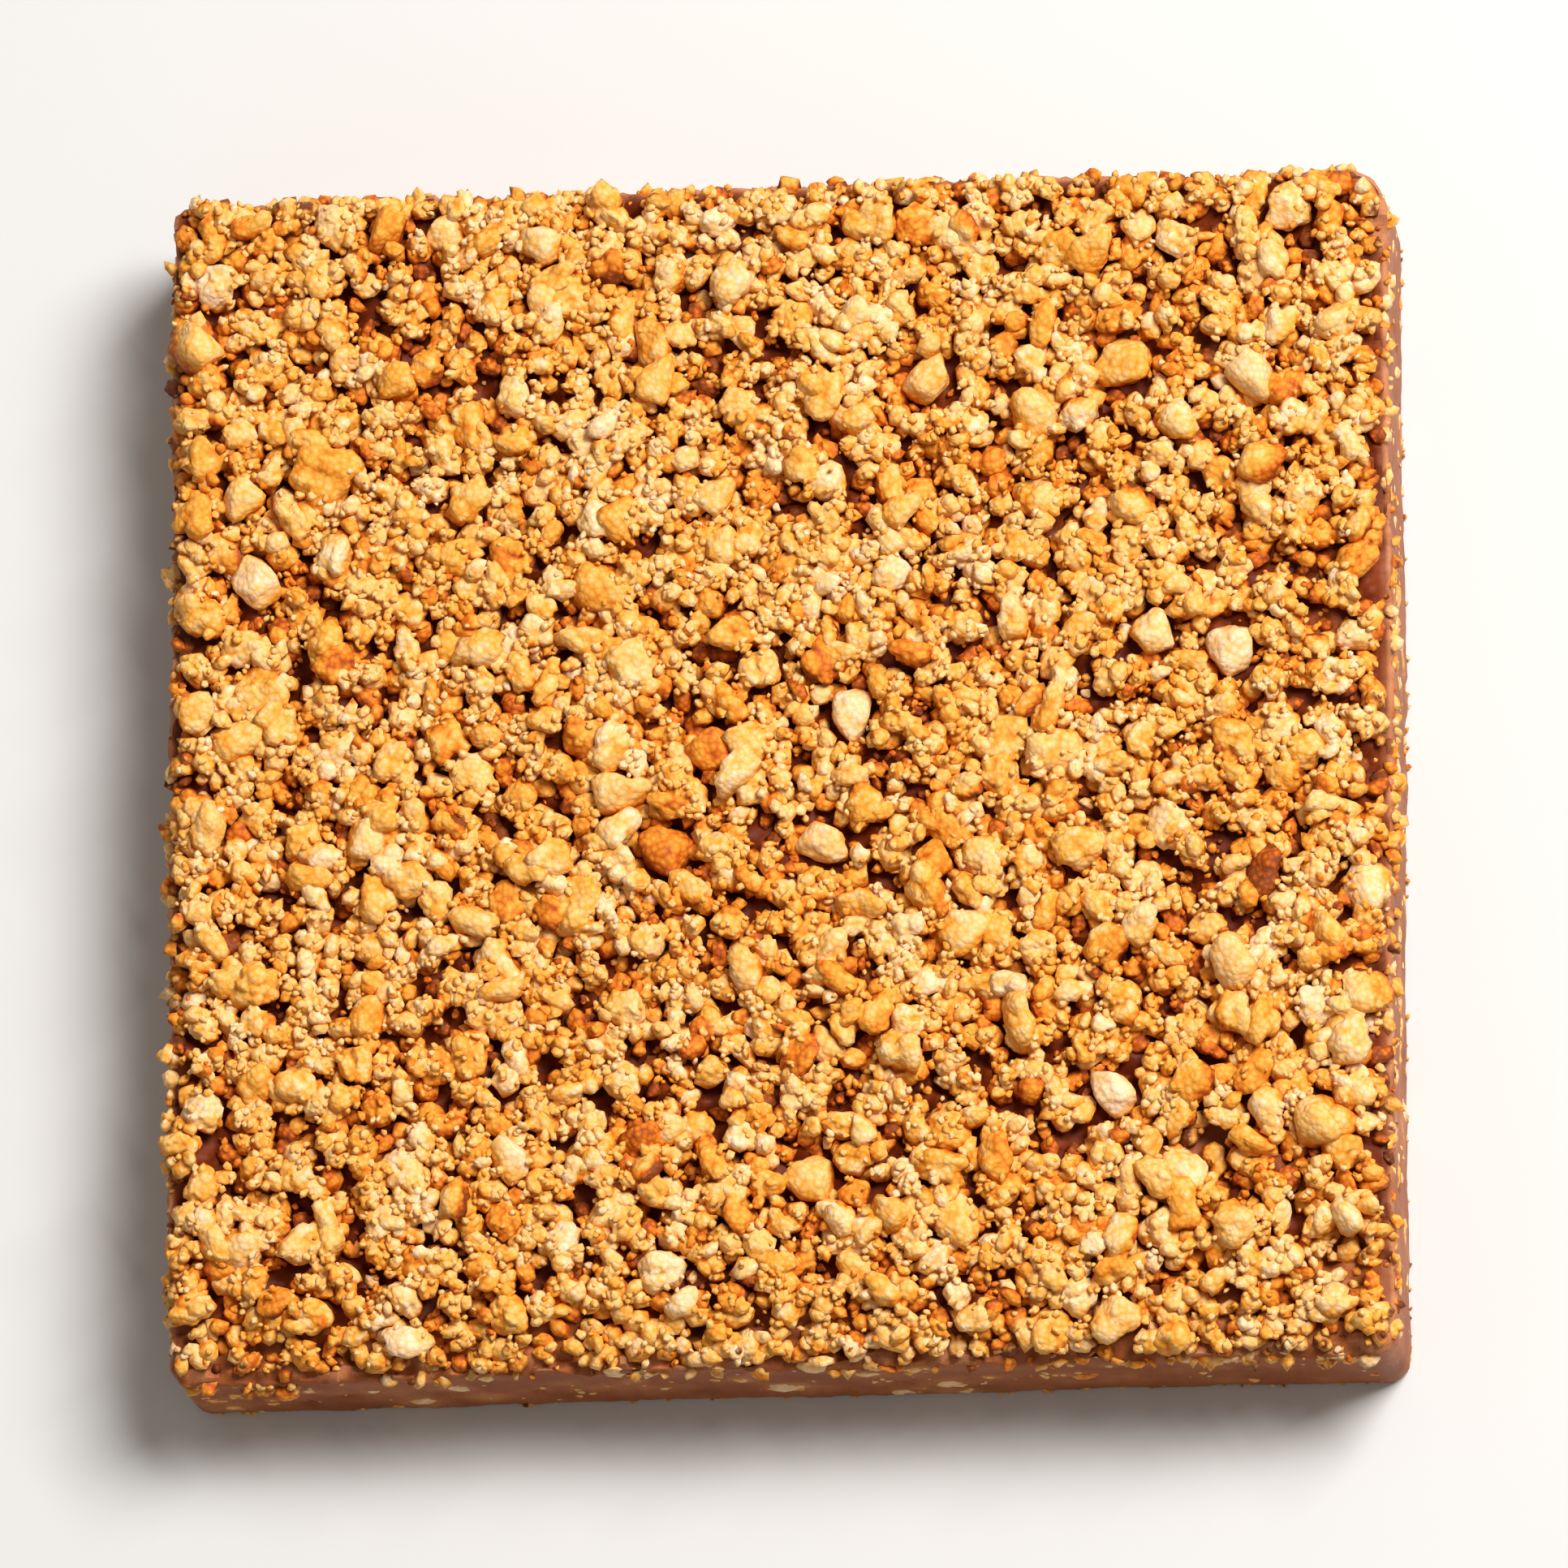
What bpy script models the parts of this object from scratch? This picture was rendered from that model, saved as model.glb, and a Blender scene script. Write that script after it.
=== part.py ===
"""Peanut bark: one cut square of milk chocolate with roasted peanut crumbs pressed into its top.

The square lies flat with its crumbs up. Its origin is at the middle of its underside, X runs to the
right, Y to the far edge and Z up. All sizes are in metres.
"""

import math
import random

import bmesh
import bpy
from mathutils import Matrix, Vector, noise
from mathutils.bvhtree import BVHTree

MM = 0.001

# The cut square
WIDTH = 64.0 * MM
DEPTH = 63.0 * MM
CHOCOLATE_HEIGHT = 8.4 * MM
CORNER_RADIUS = 1.1 * MM
WORN_CORNER_RADIUS = 2.4 * MM
FOOT_CHAMFER = 0.4 * MM
CUT_WAVE = 0.25 * MM
CUT_WAVE_LENGTH = 19.0 * MM
SIDES_APART = 5.3

# The bed of packed crumbs on the chocolate
BED_HEIGHT = 1.1 * MM
BED_ROLL = 0.4 * MM
BED_ROLL_LENGTH = 13.0 * MM
BED_LUMP = 0.5 * MM
BED_LUMP_LENGTH = 5.0 * MM
RIM_FALL = 0.5 * MM
RIM_WIDTH = 1.3 * MM
CELLS = 26
RIM_CELLS = 2
RIM_CELL = 0.8 * MM

# Where the chocolate shows: the near side's bare band, and hollows as place and radius
NEAR_BAND = 2.6 * MM
NEAR_BAND_FALL = 0.9 * MM
BARE_HOLLOWS = (
    ((22.1 * MM, -20.9 * MM), 1.9 * MM),
    ((29.4 * MM, -27.2 * MM), 2.2 * MM),
    ((29.2 * MM, 5.8 * MM), 1.5 * MM),
)
HOLLOW_DEPTH = 0.9 * MM
HOLLOW_EDGE = 0.4
MOST_BARE = 0.3

# The largest crumbs: place, length, and breadth and height as shares of the length
LANDMARKS = (
    ((-23.7, 16.5), 3.9, 0.94, 0.62),
    ((-27.0, 4.7), 3.6, 0.90, 0.62),
    ((-10.3, -7.3), 3.6, 0.66, 0.60),
    ((-5.7, -4.2), 2.8, 0.86, 0.74),
    ((2.5, -4.0), 2.7, 0.72, 0.56),
    ((3.9, 2.9), 2.8, 0.62, 0.60),
    ((18.3, 21.0), 2.9, 0.88, 0.60),
    ((8.0, 20.5), 2.8, 0.72, 0.62),
    ((23.9, 5.7), 2.7, 0.84, 0.66),
    ((19.8, 6.6), 2.3, 0.90, 0.78),
    ((-27.4, 10.7), 2.8, 0.80, 0.62),
    ((-3.3, 1.1), 2.4, 0.84, 0.70),
    ((1.8, -21.8), 2.6, 0.86, 0.62),
    ((-19.5, -20.9), 2.7, 0.90, 0.62),
    ((17.7, -17.7), 2.7, 0.60, 0.66),
)

# The crumbs that are drawn after them, largest first
CRUMB_COUNT = 242
LARGEST_DRAWN = 3.3 * MM
SMALLEST_DRAWN = 1.9 * MM
SIZE_FALL = 1.7
TRIES = 7
BREADTH_SHARES = (0.70, 1.00)
HEIGHT_SHARES = (0.60, 0.85)
CRUMB_LIFT = 0.14
CRUMB_TIP = math.radians(26.0)
CRUMB_SEED = 41

# The crumbs' few-sided forms
CRUMB_SHAPES = 9
CRUMB_CORNERS = 11
CORNER_REACHES = (0.40, 0.54)
CORNER_STRAY = math.radians(20.0)
SHAPE_SEED = 700

PEANUT = (0.83, 0.50, 0.17, 1.0)
PEANUT_ROUGHNESS = 0.62


def clear_scene():
    """Removes every object, so that the script can be run again."""
    for old in list(bpy.data.objects):
        bpy.data.objects.remove(old, do_unlink=True)


def new_collection(name):
    """A collection in the scene."""
    made = bpy.data.collections.new(name)
    bpy.context.scene.collection.children.link(made)
    return made


def finish(name, colour, roughness):
    """A plain Principled material."""
    made = bpy.data.materials.new(name)
    made.use_nodes = True
    shader = made.node_tree.nodes["Principled BSDF"]
    shader.inputs["Base Color"].default_value = colour
    shader.inputs["Roughness"].default_value = roughness
    shader.inputs["Metallic"].default_value = 0.0
    return made


def add_object(name, mesh, collection):
    """A new object for the mesh, in the collection."""
    made = bpy.data.objects.new(name, mesh)
    collection.objects.link(made)
    return made


def smooth_step(value):
    """0 below 0, 1 above 1, and a soft rise between."""
    held = min(max(value, 0.0), 1.0)
    return held * held * (3.0 - 2.0 * held)


def cut_wave(along, side):
    """How far a cut side strays from straight at a place along it; side tells the four apart."""
    return CUT_WAVE * noise.noise(Vector((along / CUT_WAVE_LENGTH, side * SIDES_APART, 0.0)))


def corner_radius(x, y):
    """The radius of the corner nearest to (x, y): the far right one is worn rounder."""
    return WORN_CORNER_RADIUS if x > 0 and y > 0 else CORNER_RADIUS


def inside_outline(x, y):
    """(x, y) of a plain rectangle moved in at the corners, so that they are round, and along the cuts."""
    half_x = WIDTH / 2
    half_y = DEPTH / 2
    radius = corner_radius(x, y)
    beyond_x = max(abs(x) - (half_x - radius), 0.0)
    beyond_y = max(abs(y) - (half_y - radius), 0.0)
    # The square corner's points go to the arc along the rays that a disc's mapping gives.
    scale_x = math.sqrt(1.0 - (beyond_y / radius) ** 2 / 2)
    scale_y = math.sqrt(1.0 - (beyond_x / radius) ** 2 / 2)
    round_x = math.copysign(min(abs(x), half_x - radius) + beyond_x * scale_x, x)
    round_y = math.copysign(min(abs(y), half_y - radius) + beyond_y * scale_y, y)
    reach_x = (x / half_x) ** 3
    reach_y = (y / half_y) ** 3
    return (
        round_x + reach_x * cut_wave(y, 1 if x > 0 else 2),
        round_y + reach_y * cut_wave(x, 3 if y > 0 else 4),
    )


def rim_fall(x, y):
    """How much the bed is lower near the sides: a narrow fall on three, and the near one's bare band."""
    inward = min(WIDTH / 2 - abs(x), DEPTH / 2 - abs(y))
    fall = RIM_FALL * (1.0 - smooth_step(inward / RIM_WIDTH))
    band = NEAR_BAND * (1.0 + 0.5 * noise.noise(Vector((x / BED_ROLL_LENGTH, 0.0, 4.0))))
    return fall + NEAR_BAND_FALL * (1.0 - smooth_step((y + DEPTH / 2) / band - 0.5))


def hollow_share(x, y):
    """1 in the middle of a bare hollow, and 0 outside the hollows."""
    reach = [math.hypot(x - a, y - b) / radius for (a, b), radius in BARE_HOLLOWS]
    return 1.0 - smooth_step(min(reach) - HOLLOW_EDGE)


def bed_top(x, y):
    """The height of the crumb bed: rolling, lower at the rim and sunk at the bare hollows."""
    broad = noise.noise(Vector((x / BED_ROLL_LENGTH, y / BED_ROLL_LENGTH, 2.0)))
    close = noise.noise(Vector((x / BED_LUMP_LENGTH, y / BED_LUMP_LENGTH, 9.0)))
    relief = BED_ROLL * broad + BED_LUMP * close
    sunk = rim_fall(x, y) + HOLLOW_DEPTH * hollow_share(x, y)
    return CHOCOLATE_HEIGHT + BED_HEIGHT + relief - sunk


def grid_line(number, side):
    """Where a grid line crosses the slab: even cells in the middle and narrow ones in the rim."""
    middle = side / 2 - RIM_CELLS * RIM_CELL
    if number < RIM_CELLS:
        return number * RIM_CELL - side / 2
    if number > CELLS - RIM_CELLS:
        return side / 2 - (CELLS - number) * RIM_CELL
    return middle * (2.0 * (number - RIM_CELLS) / (CELLS - 2 * RIM_CELLS) - 1.0)


def lower_rim(shape, rim, level, inset):
    """Extrudes the open rim's edges down to a level, drawn in by inset, and gives the new rim."""
    raised = bmesh.ops.extrude_edge_only(shape, edges=rim)["geom"]
    for item in raised:
        if isinstance(item, bmesh.types.BMVert):
            item.co.x *= 1.0 - 2.0 * inset / WIDTH
            item.co.y *= 1.0 - 2.0 * inset / DEPTH
            item.co.z = level
    return [item for item in raised if isinstance(item, bmesh.types.BMEdge) and item.is_boundary]


def build_core(collection):
    """The slab under the separate crumbs: a lumpy top, straight cut sides and a flat underside."""
    shape = bmesh.new()
    bmesh.ops.create_grid(shape, x_segments=CELLS, y_segments=CELLS, size=CELLS / 2)
    for vertex in shape.verts:
        x = grid_line(round(vertex.co.x + CELLS / 2), WIDTH)
        y = grid_line(round(vertex.co.y + CELLS / 2), DEPTH)
        round_x, round_y = inside_outline(x, y)
        vertex.co = Vector((round_x, round_y, bed_top(x, y)))
    rim = [edge for edge in shape.edges if edge.is_boundary]
    rim = lower_rim(shape, rim, FOOT_CHAMFER, inset=0.0)
    rim = lower_rim(shape, rim, 0.0, inset=FOOT_CHAMFER)
    bmesh.ops.holes_fill(shape, edges=rim, sides=len(rim))
    bmesh.ops.recalc_face_normals(shape, faces=shape.faces[:])
    mesh = bpy.data.meshes.new("bark")
    shape.to_mesh(mesh)
    shape.free()
    return add_object("bark", mesh, collection)


def crumb_shape(number):
    """One of the crumbs' few-sided forms, about 1 across: a hull round points on a ball."""
    draw = random.Random(SHAPE_SEED + number)
    shape = bmesh.new()
    turn = math.pi * (3.0 - math.sqrt(5.0))
    for corner in range(CRUMB_CORNERS):
        height = 1.0 - 2.0 * (corner + 0.5) / CRUMB_CORNERS
        across = math.sqrt(1.0 - height * height)
        angle = corner * turn + draw.uniform(-CORNER_STRAY, CORNER_STRAY)
        place = Vector((across * math.cos(angle), across * math.sin(angle), height))
        shape.verts.new(place * draw.uniform(*CORNER_REACHES))
    hull = bmesh.ops.convex_hull(shape, input=shape.verts[:])
    spare = [item for item in hull["geom_interior"] if isinstance(item, bmesh.types.BMVert)]
    bmesh.ops.delete(shape, geom=spare, context="VERTS")
    bmesh.ops.recalc_face_normals(shape, faces=shape.faces[:])
    mesh = bpy.data.meshes.new(f"crumb_shape_{number}")
    shape.to_mesh(mesh)
    shape.free()
    return mesh


def clearance(x, y, length, placed):
    """The gap from a crumb at (x, y) to its nearest neighbour, or the least of all where it's bare."""
    if y < NEAR_BAND - DEPTH / 2 or hollow_share(x, y) > MOST_BARE:
        return -DEPTH
    return min(math.hypot(x - other[0], y - other[1]) - (length + other[2]) / 2 for other in placed)


def crumb_places():
    """(x, y, length, breadth, height) of each separate crumb: the landmarks, then the drawn ones."""
    placed = [
        (x * MM, y * MM, length * MM, length * breadth * MM, length * height * MM)
        for (x, y), length, breadth, height in LANDMARKS
    ]
    draw = random.Random(CRUMB_SEED)
    for number in range(CRUMB_COUNT):
        share = ((number + 0.5) / CRUMB_COUNT) ** (1.0 / SIZE_FALL)
        length = LARGEST_DRAWN + (SMALLEST_DRAWN - LARGEST_DRAWN) * share
        breadth = length * draw.uniform(*BREADTH_SHARES)
        height = length * draw.uniform(*HEIGHT_SHARES)
        reach_x = (WIDTH - length) / 2
        reach_y = (DEPTH - length) / 2
        tries = [(draw.uniform(-reach_x, reach_x), draw.uniform(-reach_y, reach_y)) for _ in range(TRIES)]
        x, y = max(tries, key=lambda place: clearance(*place, length, placed))
        placed.append((x, y, length, breadth, height))
    return placed


def surface_under(body):
    """A tree that finds where a line straight down meets the body."""
    shape = bmesh.new()
    shape.from_mesh(body.data)
    tree = BVHTree.FromBMesh(shape)
    shape.free()
    return tree


def scatter_crumbs(body, collection):
    """The separate crumbs, each turned at random and sunk a little over a third into the bed."""
    shapes = [crumb_shape(number) for number in range(CRUMB_SHAPES)]
    surface = surface_under(body)
    draw = random.Random(CRUMB_SEED + 1)
    for number, (x, y, length, breadth, height) in enumerate(crumb_places()):
        crumb = add_object(f"crumb_{number}", shapes[number % CRUMB_SHAPES], collection)
        spin = Matrix.Rotation(draw.uniform(0.0, math.tau), 4, "Z")
        tip = Matrix.Rotation(draw.uniform(-CRUMB_TIP, CRUMB_TIP), 4, "X")
        size = Matrix.Diagonal((length, breadth, height, 1.0))
        seat = surface.ray_cast(Vector((x, y, DEPTH)), Vector((0.0, 0.0, -1.0)))[0]
        middle = seat + Vector((0.0, 0.0, CRUMB_LIFT * height))
        crumb.matrix_world = Matrix.Translation(middle) @ spin @ tip @ size


def fuse(body, collection):
    """Joins the collection's objects to the body by one Boolean union, and removes them."""
    joined = body.modifiers.new("crumbs", "BOOLEAN")
    joined.operation = "UNION"
    joined.operand_type = "COLLECTION"
    joined.collection = collection
    joined.solver = "EXACT"
    bpy.context.view_layer.update()
    graph = bpy.context.evaluated_depsgraph_get()
    whole = bpy.data.meshes.new_from_object(body.evaluated_get(graph))
    body.modifiers.clear()
    body.data = whole
    for crumb in list(collection.objects):
        bpy.data.objects.remove(crumb, do_unlink=True)
    bpy.data.collections.remove(collection)


def centre(body):
    """Moves the mesh so that the middle of its box is over the origin."""
    for axis in (0, 1):
        ends = [vertex.co[axis] for vertex in body.data.vertices]
        middle = (min(ends) + max(ends)) / 2
        for vertex in body.data.vertices:
            vertex.co[axis] -= middle


def main():
    """Builds the square of bark as one solid."""
    clear_scene()
    bark = build_core(new_collection("peanut_bark"))
    crumbs = new_collection("crumbs")
    scatter_crumbs(bark, crumbs)
    fuse(bark, crumbs)
    centre(bark)
    bark.data.materials.clear()
    bark.data.materials.append(finish("roasted_peanut", PEANUT, PEANUT_ROUGHNESS))


main()
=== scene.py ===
"""The looks of a cut square of peanut bark: milk chocolate under a bed of roasted peanut crumbs.

Everything is in metres in the frame of the CAD: the square lies on z = 0 with its crumbs up.
"""

from __future__ import annotations

import logging
import math
import random
from collections.abc import Callable
from dataclasses import dataclass, field
from enum import Enum
from functools import cache

import bmesh
import bpy
import numpy as np
from mathutils import Matrix, Vector, noise

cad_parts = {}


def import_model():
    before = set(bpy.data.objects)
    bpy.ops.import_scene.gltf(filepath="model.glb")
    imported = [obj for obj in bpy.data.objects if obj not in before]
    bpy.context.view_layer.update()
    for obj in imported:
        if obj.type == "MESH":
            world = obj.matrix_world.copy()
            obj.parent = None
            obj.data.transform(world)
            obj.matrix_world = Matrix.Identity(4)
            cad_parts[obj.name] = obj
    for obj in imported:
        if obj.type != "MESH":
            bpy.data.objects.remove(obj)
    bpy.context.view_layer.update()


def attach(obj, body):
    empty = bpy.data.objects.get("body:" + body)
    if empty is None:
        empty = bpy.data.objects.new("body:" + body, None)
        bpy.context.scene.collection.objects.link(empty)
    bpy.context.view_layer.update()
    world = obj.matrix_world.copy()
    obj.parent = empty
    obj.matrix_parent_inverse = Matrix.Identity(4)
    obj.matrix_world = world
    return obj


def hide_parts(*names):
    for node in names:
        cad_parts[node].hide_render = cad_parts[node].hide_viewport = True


log = logging.getLogger("bark")

MM = 0.001
BODY = "root"
NODE = "bark"
SIDES = 4
NEAR_SIDE = 3
TONE = "tone"
GOLDEN_TURN = math.pi * (3.0 - math.sqrt(5.0))

# Plane waves that are enough for a crumb's own relief
FEW_WAVES = 12

# How much closer a form's points lie on top than even ones would
CROWDING = 1.5

# Height under which no crumb reaches, so that the square rests on its chocolate
LOWEST = 0.02 * MM

# The band, counted from a form's middle, over which the painted shade on a crumb's underside fades upwards
LOW_START = 0.45
LOW_SPAN = 1.05

# Least and most breadth and height of a loose crumb, as shares of its length
BREADTHS = (0.6, 1.0)
HEIGHTS = (0.5, 0.9)

# How high a crumb holds up others over its middle, as a share of its height
SHOULDER = 0.45

# Places of the Mix node's colour sockets
MIX_SHARE, MIX_LOW, MIX_HIGH, MIX_COLOUR = 0, 6, 7, 2


def smooth_step(value: np.ndarray) -> np.ndarray:
    """Give 0 below 0, 1 above 1, and a soft rise between."""
    held = np.clip(value, 0.0, 1.0)
    return held * held * (3.0 - 2.0 * held)


@np.vectorize
def soft_noise(x: float, y: float, z: float) -> float:
    """Read Blender's soft noise, about -1 to 1, at one place or at many."""
    return noise.noise(Vector((x, y, z)))


def turned(spin: float, tip: float) -> np.ndarray:
    """Give the rotation by tip about X and then by spin about Z.

    Args:
        spin: angle about Z, in radians.
        tip: angle about X, in radians.

    Returns:
        The 3 by 3 rotation.
    """
    along, across = math.cos(spin), math.sin(spin)
    level, up = math.cos(tip), math.sin(tip)
    about_z = np.array([[along, -across, 0], [across, along, 0], [0, 0, 1]])
    about_x = np.array([[1, 0, 0], [0, level, -up], [0, up, level]])
    return about_z @ about_x


@dataclass(frozen=True)
class Ripple:
    """Soft random relief with lumps of about one length, for points in any number.

    Attributes:
        length: distance from lump to lump, in metres.
        seed: number that the relief is drawn with.
        waves: how many plane waves are summed.
        pitches: least and most length of a wave, as shares of the length.
    """

    length: float
    seed: int
    waves: int = 24
    pitches: tuple[float, float] = (0.7, 1.6)

    def at(self, points: np.ndarray) -> np.ndarray:
        """Read the relief.

        Args:
            points: places as rows of two or three coordinates.

        Returns:
            One value for each place, about -1 to 1.
        """
        draw = np.random.default_rng(self.seed)
        directions = draw.normal(size=(self.waves, points.shape[1]))
        directions /= np.linalg.norm(directions, axis=1, keepdims=True)
        turns = math.tau / (self.length * draw.uniform(*self.pitches, self.waves))
        phases = draw.uniform(0.0, math.tau, self.waves)
        heights = np.zeros(len(points))
        for direction, pitch, phase in zip(directions, turns, phases):
            heights += np.sin(points @ direction * pitch + phase)
        return heights / math.sqrt(self.waves)


@dataclass(frozen=True)
class Slab:
    """The square's form, with the sizes that the CAD has.

    Attributes:
        width: side along X.
        depth: side along Y.
        chocolate_height: from the underside to the crumbs.
        corner_radius: of three corners.
        worn_corner_radius: of the far right corner.
        cut_wave: how far a cut side strays from straight.
        cut_wave_length: distance over which it strays.
        sides_apart: step between the four sides in the noise.
        bed_height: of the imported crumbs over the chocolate.
        bed_roll: height of the bed's broad waves.
        bed_roll_length: their length.
        bed_lump: height of the bed's close waves.
        bed_lump_length: their length.
        rim_fall: how much the bed falls at the sides.
        rim_width: over which it falls.
        near_band: width of the near side's bare band.
        near_band_stray: how much that changes along the side, as a share of it.
        near_band_edge: share of the width at which the crumbs begin.
        near_band_fall: how much the bed falls there.
        hollows: place and radius of each bare hollow.
        hollow_depth: how far they sink.
        hollow_edge: share of the radius at which they start to sink.
        worn_length: how far the worn corner's bare rim runs along both sides.
        worn_rim: its width.
        worn_rim_edge: share of that width at which the crumbs begin.
        levels: heights in the noise of the broad waves, the close waves and the near band.
    """

    width: float = 64.0 * MM
    depth: float = 63.0 * MM
    chocolate_height: float = 8.4 * MM
    corner_radius: float = 1.1 * MM
    worn_corner_radius: float = 2.4 * MM
    cut_wave: float = 0.25 * MM
    cut_wave_length: float = 19.0 * MM
    sides_apart: float = 5.3
    bed_height: float = 1.1 * MM
    bed_roll: float = 0.4 * MM
    bed_roll_length: float = 13.0 * MM
    bed_lump: float = 0.5 * MM
    bed_lump_length: float = 5.0 * MM
    rim_fall: float = 0.5 * MM
    rim_width: float = 1.3 * MM
    near_band: float = 2.6 * MM
    near_band_stray: float = 0.5
    near_band_edge: float = 0.5
    near_band_fall: float = 0.9 * MM
    hollows: tuple[tuple[tuple[float, float], float], ...] = (
        ((22.1 * MM, -20.9 * MM), 1.9 * MM),
        ((29.4 * MM, -27.2 * MM), 2.2 * MM),
        ((29.2 * MM, 5.8 * MM), 1.5 * MM),
    )
    hollow_depth: float = 0.9 * MM
    hollow_edge: float = 0.4
    worn_length: float = 4.0 * MM
    worn_rim: float = 1.2 * MM
    worn_rim_edge: float = 0.6
    levels: tuple[float, float, float] = (2.0, 9.0, 4.0)

    def stray(self, along: np.ndarray, side: int) -> np.ndarray:
        """Say how far outward a cut side strays at places along it."""
        return self.cut_wave * soft_noise(along / self.cut_wave_length, side * self.sides_apart, 0.0)

    def cornered(self, x: np.ndarray, y: np.ndarray) -> tuple[np.ndarray, np.ndarray, np.ndarray]:
        """Give the radius of the nearest corner, and how far places lie beyond where it begins.

        Args:
            x: places along X.
            y: places along Y.

        Returns:
            The radius, the distance along X and the distance along Y.
        """
        radius = np.where((x > 0) & (y > 0), self.worn_corner_radius, self.corner_radius)
        beyond_x = np.maximum(np.abs(x) - (self.width / 2 - radius), 0.0)
        beyond_y = np.maximum(np.abs(y) - (self.depth / 2 - radius), 0.0)
        return radius, beyond_x, beyond_y

    def outline(self, x: np.ndarray, y: np.ndarray) -> tuple[np.ndarray, np.ndarray]:
        """Move points of a plain rectangle to the square with its round corners and wavy cuts.

        Args:
            x: places along X.
            y: places along Y.

        Returns:
            The moved places along X and along Y.
        """
        half_x = self.width / 2
        half_y = self.depth / 2
        radius, beyond_x, beyond_y = self.cornered(x, y)
        scale_x = np.sqrt(1.0 - (beyond_y / radius) ** 2 / 2)
        scale_y = np.sqrt(1.0 - (beyond_x / radius) ** 2 / 2)
        round_x = np.copysign(np.minimum(np.abs(x), half_x - radius) + beyond_x * scale_x, x)
        round_y = np.copysign(np.minimum(np.abs(y), half_y - radius) + beyond_y * scale_y, y)
        stray_x = np.where(x > 0, self.stray(y, 1), self.stray(y, 2))
        stray_y = np.where(y > 0, self.stray(x, 3), self.stray(x, 4))
        return round_x + (x / half_x) ** 3 * stray_x, round_y + (y / half_y) ** 3 * stray_y

    def inward(self, x: np.ndarray, y: np.ndarray) -> np.ndarray:
        """Give the distance in from the nearest side."""
        return np.minimum(self.width / 2 - np.abs(x), self.depth / 2 - np.abs(y))

    def inside(self, x: np.ndarray, y: np.ndarray) -> np.ndarray:
        """Say which places lie within the round corners."""
        radius, beyond_x, beyond_y = self.cornered(x, y)
        return np.hypot(beyond_x, beyond_y) <= radius

    def side(self, number: int, share: float) -> tuple[np.ndarray, np.ndarray, np.ndarray]:
        """Find a place on a side.

        Args:
            number: of the side, against the clock from the right one.
            share: how far along it, from -0.5 to 0.5.

        Returns:
            The place at the foot of the side, the way out and the way along.
        """
        angle = number * math.pi / 2
        out = np.array([round(math.cos(angle)), round(math.sin(angle)), 0.0])
        along = np.array([-out[1], out[0], 0.0])
        plain = (0.5 * out + share * along) * (self.width, self.depth, 0.0)
        x, y = self.outline(plain[:1], plain[1:2])
        return np.array([x[0], y[0], 0.0]), out, along

    def band_width(self, x: np.ndarray) -> np.ndarray:
        """Give the width of the near side's bare band at places along it."""
        stray = self.near_band_stray * soft_noise(x / self.bed_roll_length, 0.0, self.levels[2])
        return self.near_band * (1.0 + stray)

    def near_bareness(self, x: np.ndarray, y: np.ndarray) -> np.ndarray:
        """Give 1 on the near side's bare band and 0 beyond it."""
        return 1.0 - smooth_step((y + self.depth / 2) / self.band_width(x) - self.near_band_edge)

    def hollowness(self, x: np.ndarray, y: np.ndarray) -> np.ndarray:
        """Give 1 in the middle of a bare hollow and 0 outside the hollows."""
        reach = [np.hypot(x - a, y - b) / radius for (a, b), radius in self.hollows]
        return 1.0 - smooth_step(np.minimum.reduce(reach) - self.hollow_edge)

    def corner_bareness(self, x: np.ndarray, y: np.ndarray) -> np.ndarray:
        """Give 1 on the smooth rim of the worn corner and 0 away from it.

        Args:
            x: places along X.
            y: places along Y.

        Returns:
            The share at each place.
        """
        inward = np.minimum(self.width / 2 - x, self.depth / 2 - y)
        away = np.maximum(self.width / 2 - x, self.depth / 2 - y)
        near = 1.0 - smooth_step((away - self.worn_length) / self.worn_rim)
        return near * (1.0 - smooth_step(inward / self.worn_rim - self.worn_rim_edge))

    def inner_bareness(self, x: np.ndarray, y: np.ndarray) -> np.ndarray:
        """Give 1 in the hollows and on the worn corner's rim, and 0 elsewhere."""
        return np.maximum(self.hollowness(x, y), self.corner_bareness(x, y))

    def bareness(self, x: np.ndarray, y: np.ndarray) -> np.ndarray:
        """Give 1 where no crumb lies on the chocolate and 0 where they all do."""
        return np.maximum(self.inner_bareness(x, y), self.near_bareness(x, y))

    def bed_top(self, x: np.ndarray, y: np.ndarray) -> np.ndarray:
        """Give the height of the crumb bed.

        Args:
            x: places along X.
            y: places along Y.

        Returns:
            The height over the underside at each place.
        """
        broad, close = self.bed_roll_length, self.bed_lump_length
        relief = self.bed_roll * soft_noise(x / broad, y / broad, self.levels[0])
        relief = relief + self.bed_lump * soft_noise(x / close, y / close, self.levels[1])
        sunk = self.rim_fall * (1.0 - smooth_step(self.inward(x, y) / self.rim_width))
        sunk = sunk + self.near_band_fall * self.near_bareness(x, y)
        sunk = sunk + self.hollow_depth * self.hollowness(x, y)
        return self.chocolate_height + self.bed_height + relief - sunk


@dataclass(frozen=True)
class Form:
    """A closed form of about unit length.

    Attributes:
        points: its points as rows.
        faces: its triangles as rows of three point numbers.
        shade: how much more each point is roasted or painted darker than the crumb as a whole: random tone,
            with painted shade in the creases and underneath.
    """

    points: np.ndarray
    faces: np.ndarray
    shade: np.ndarray


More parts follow.
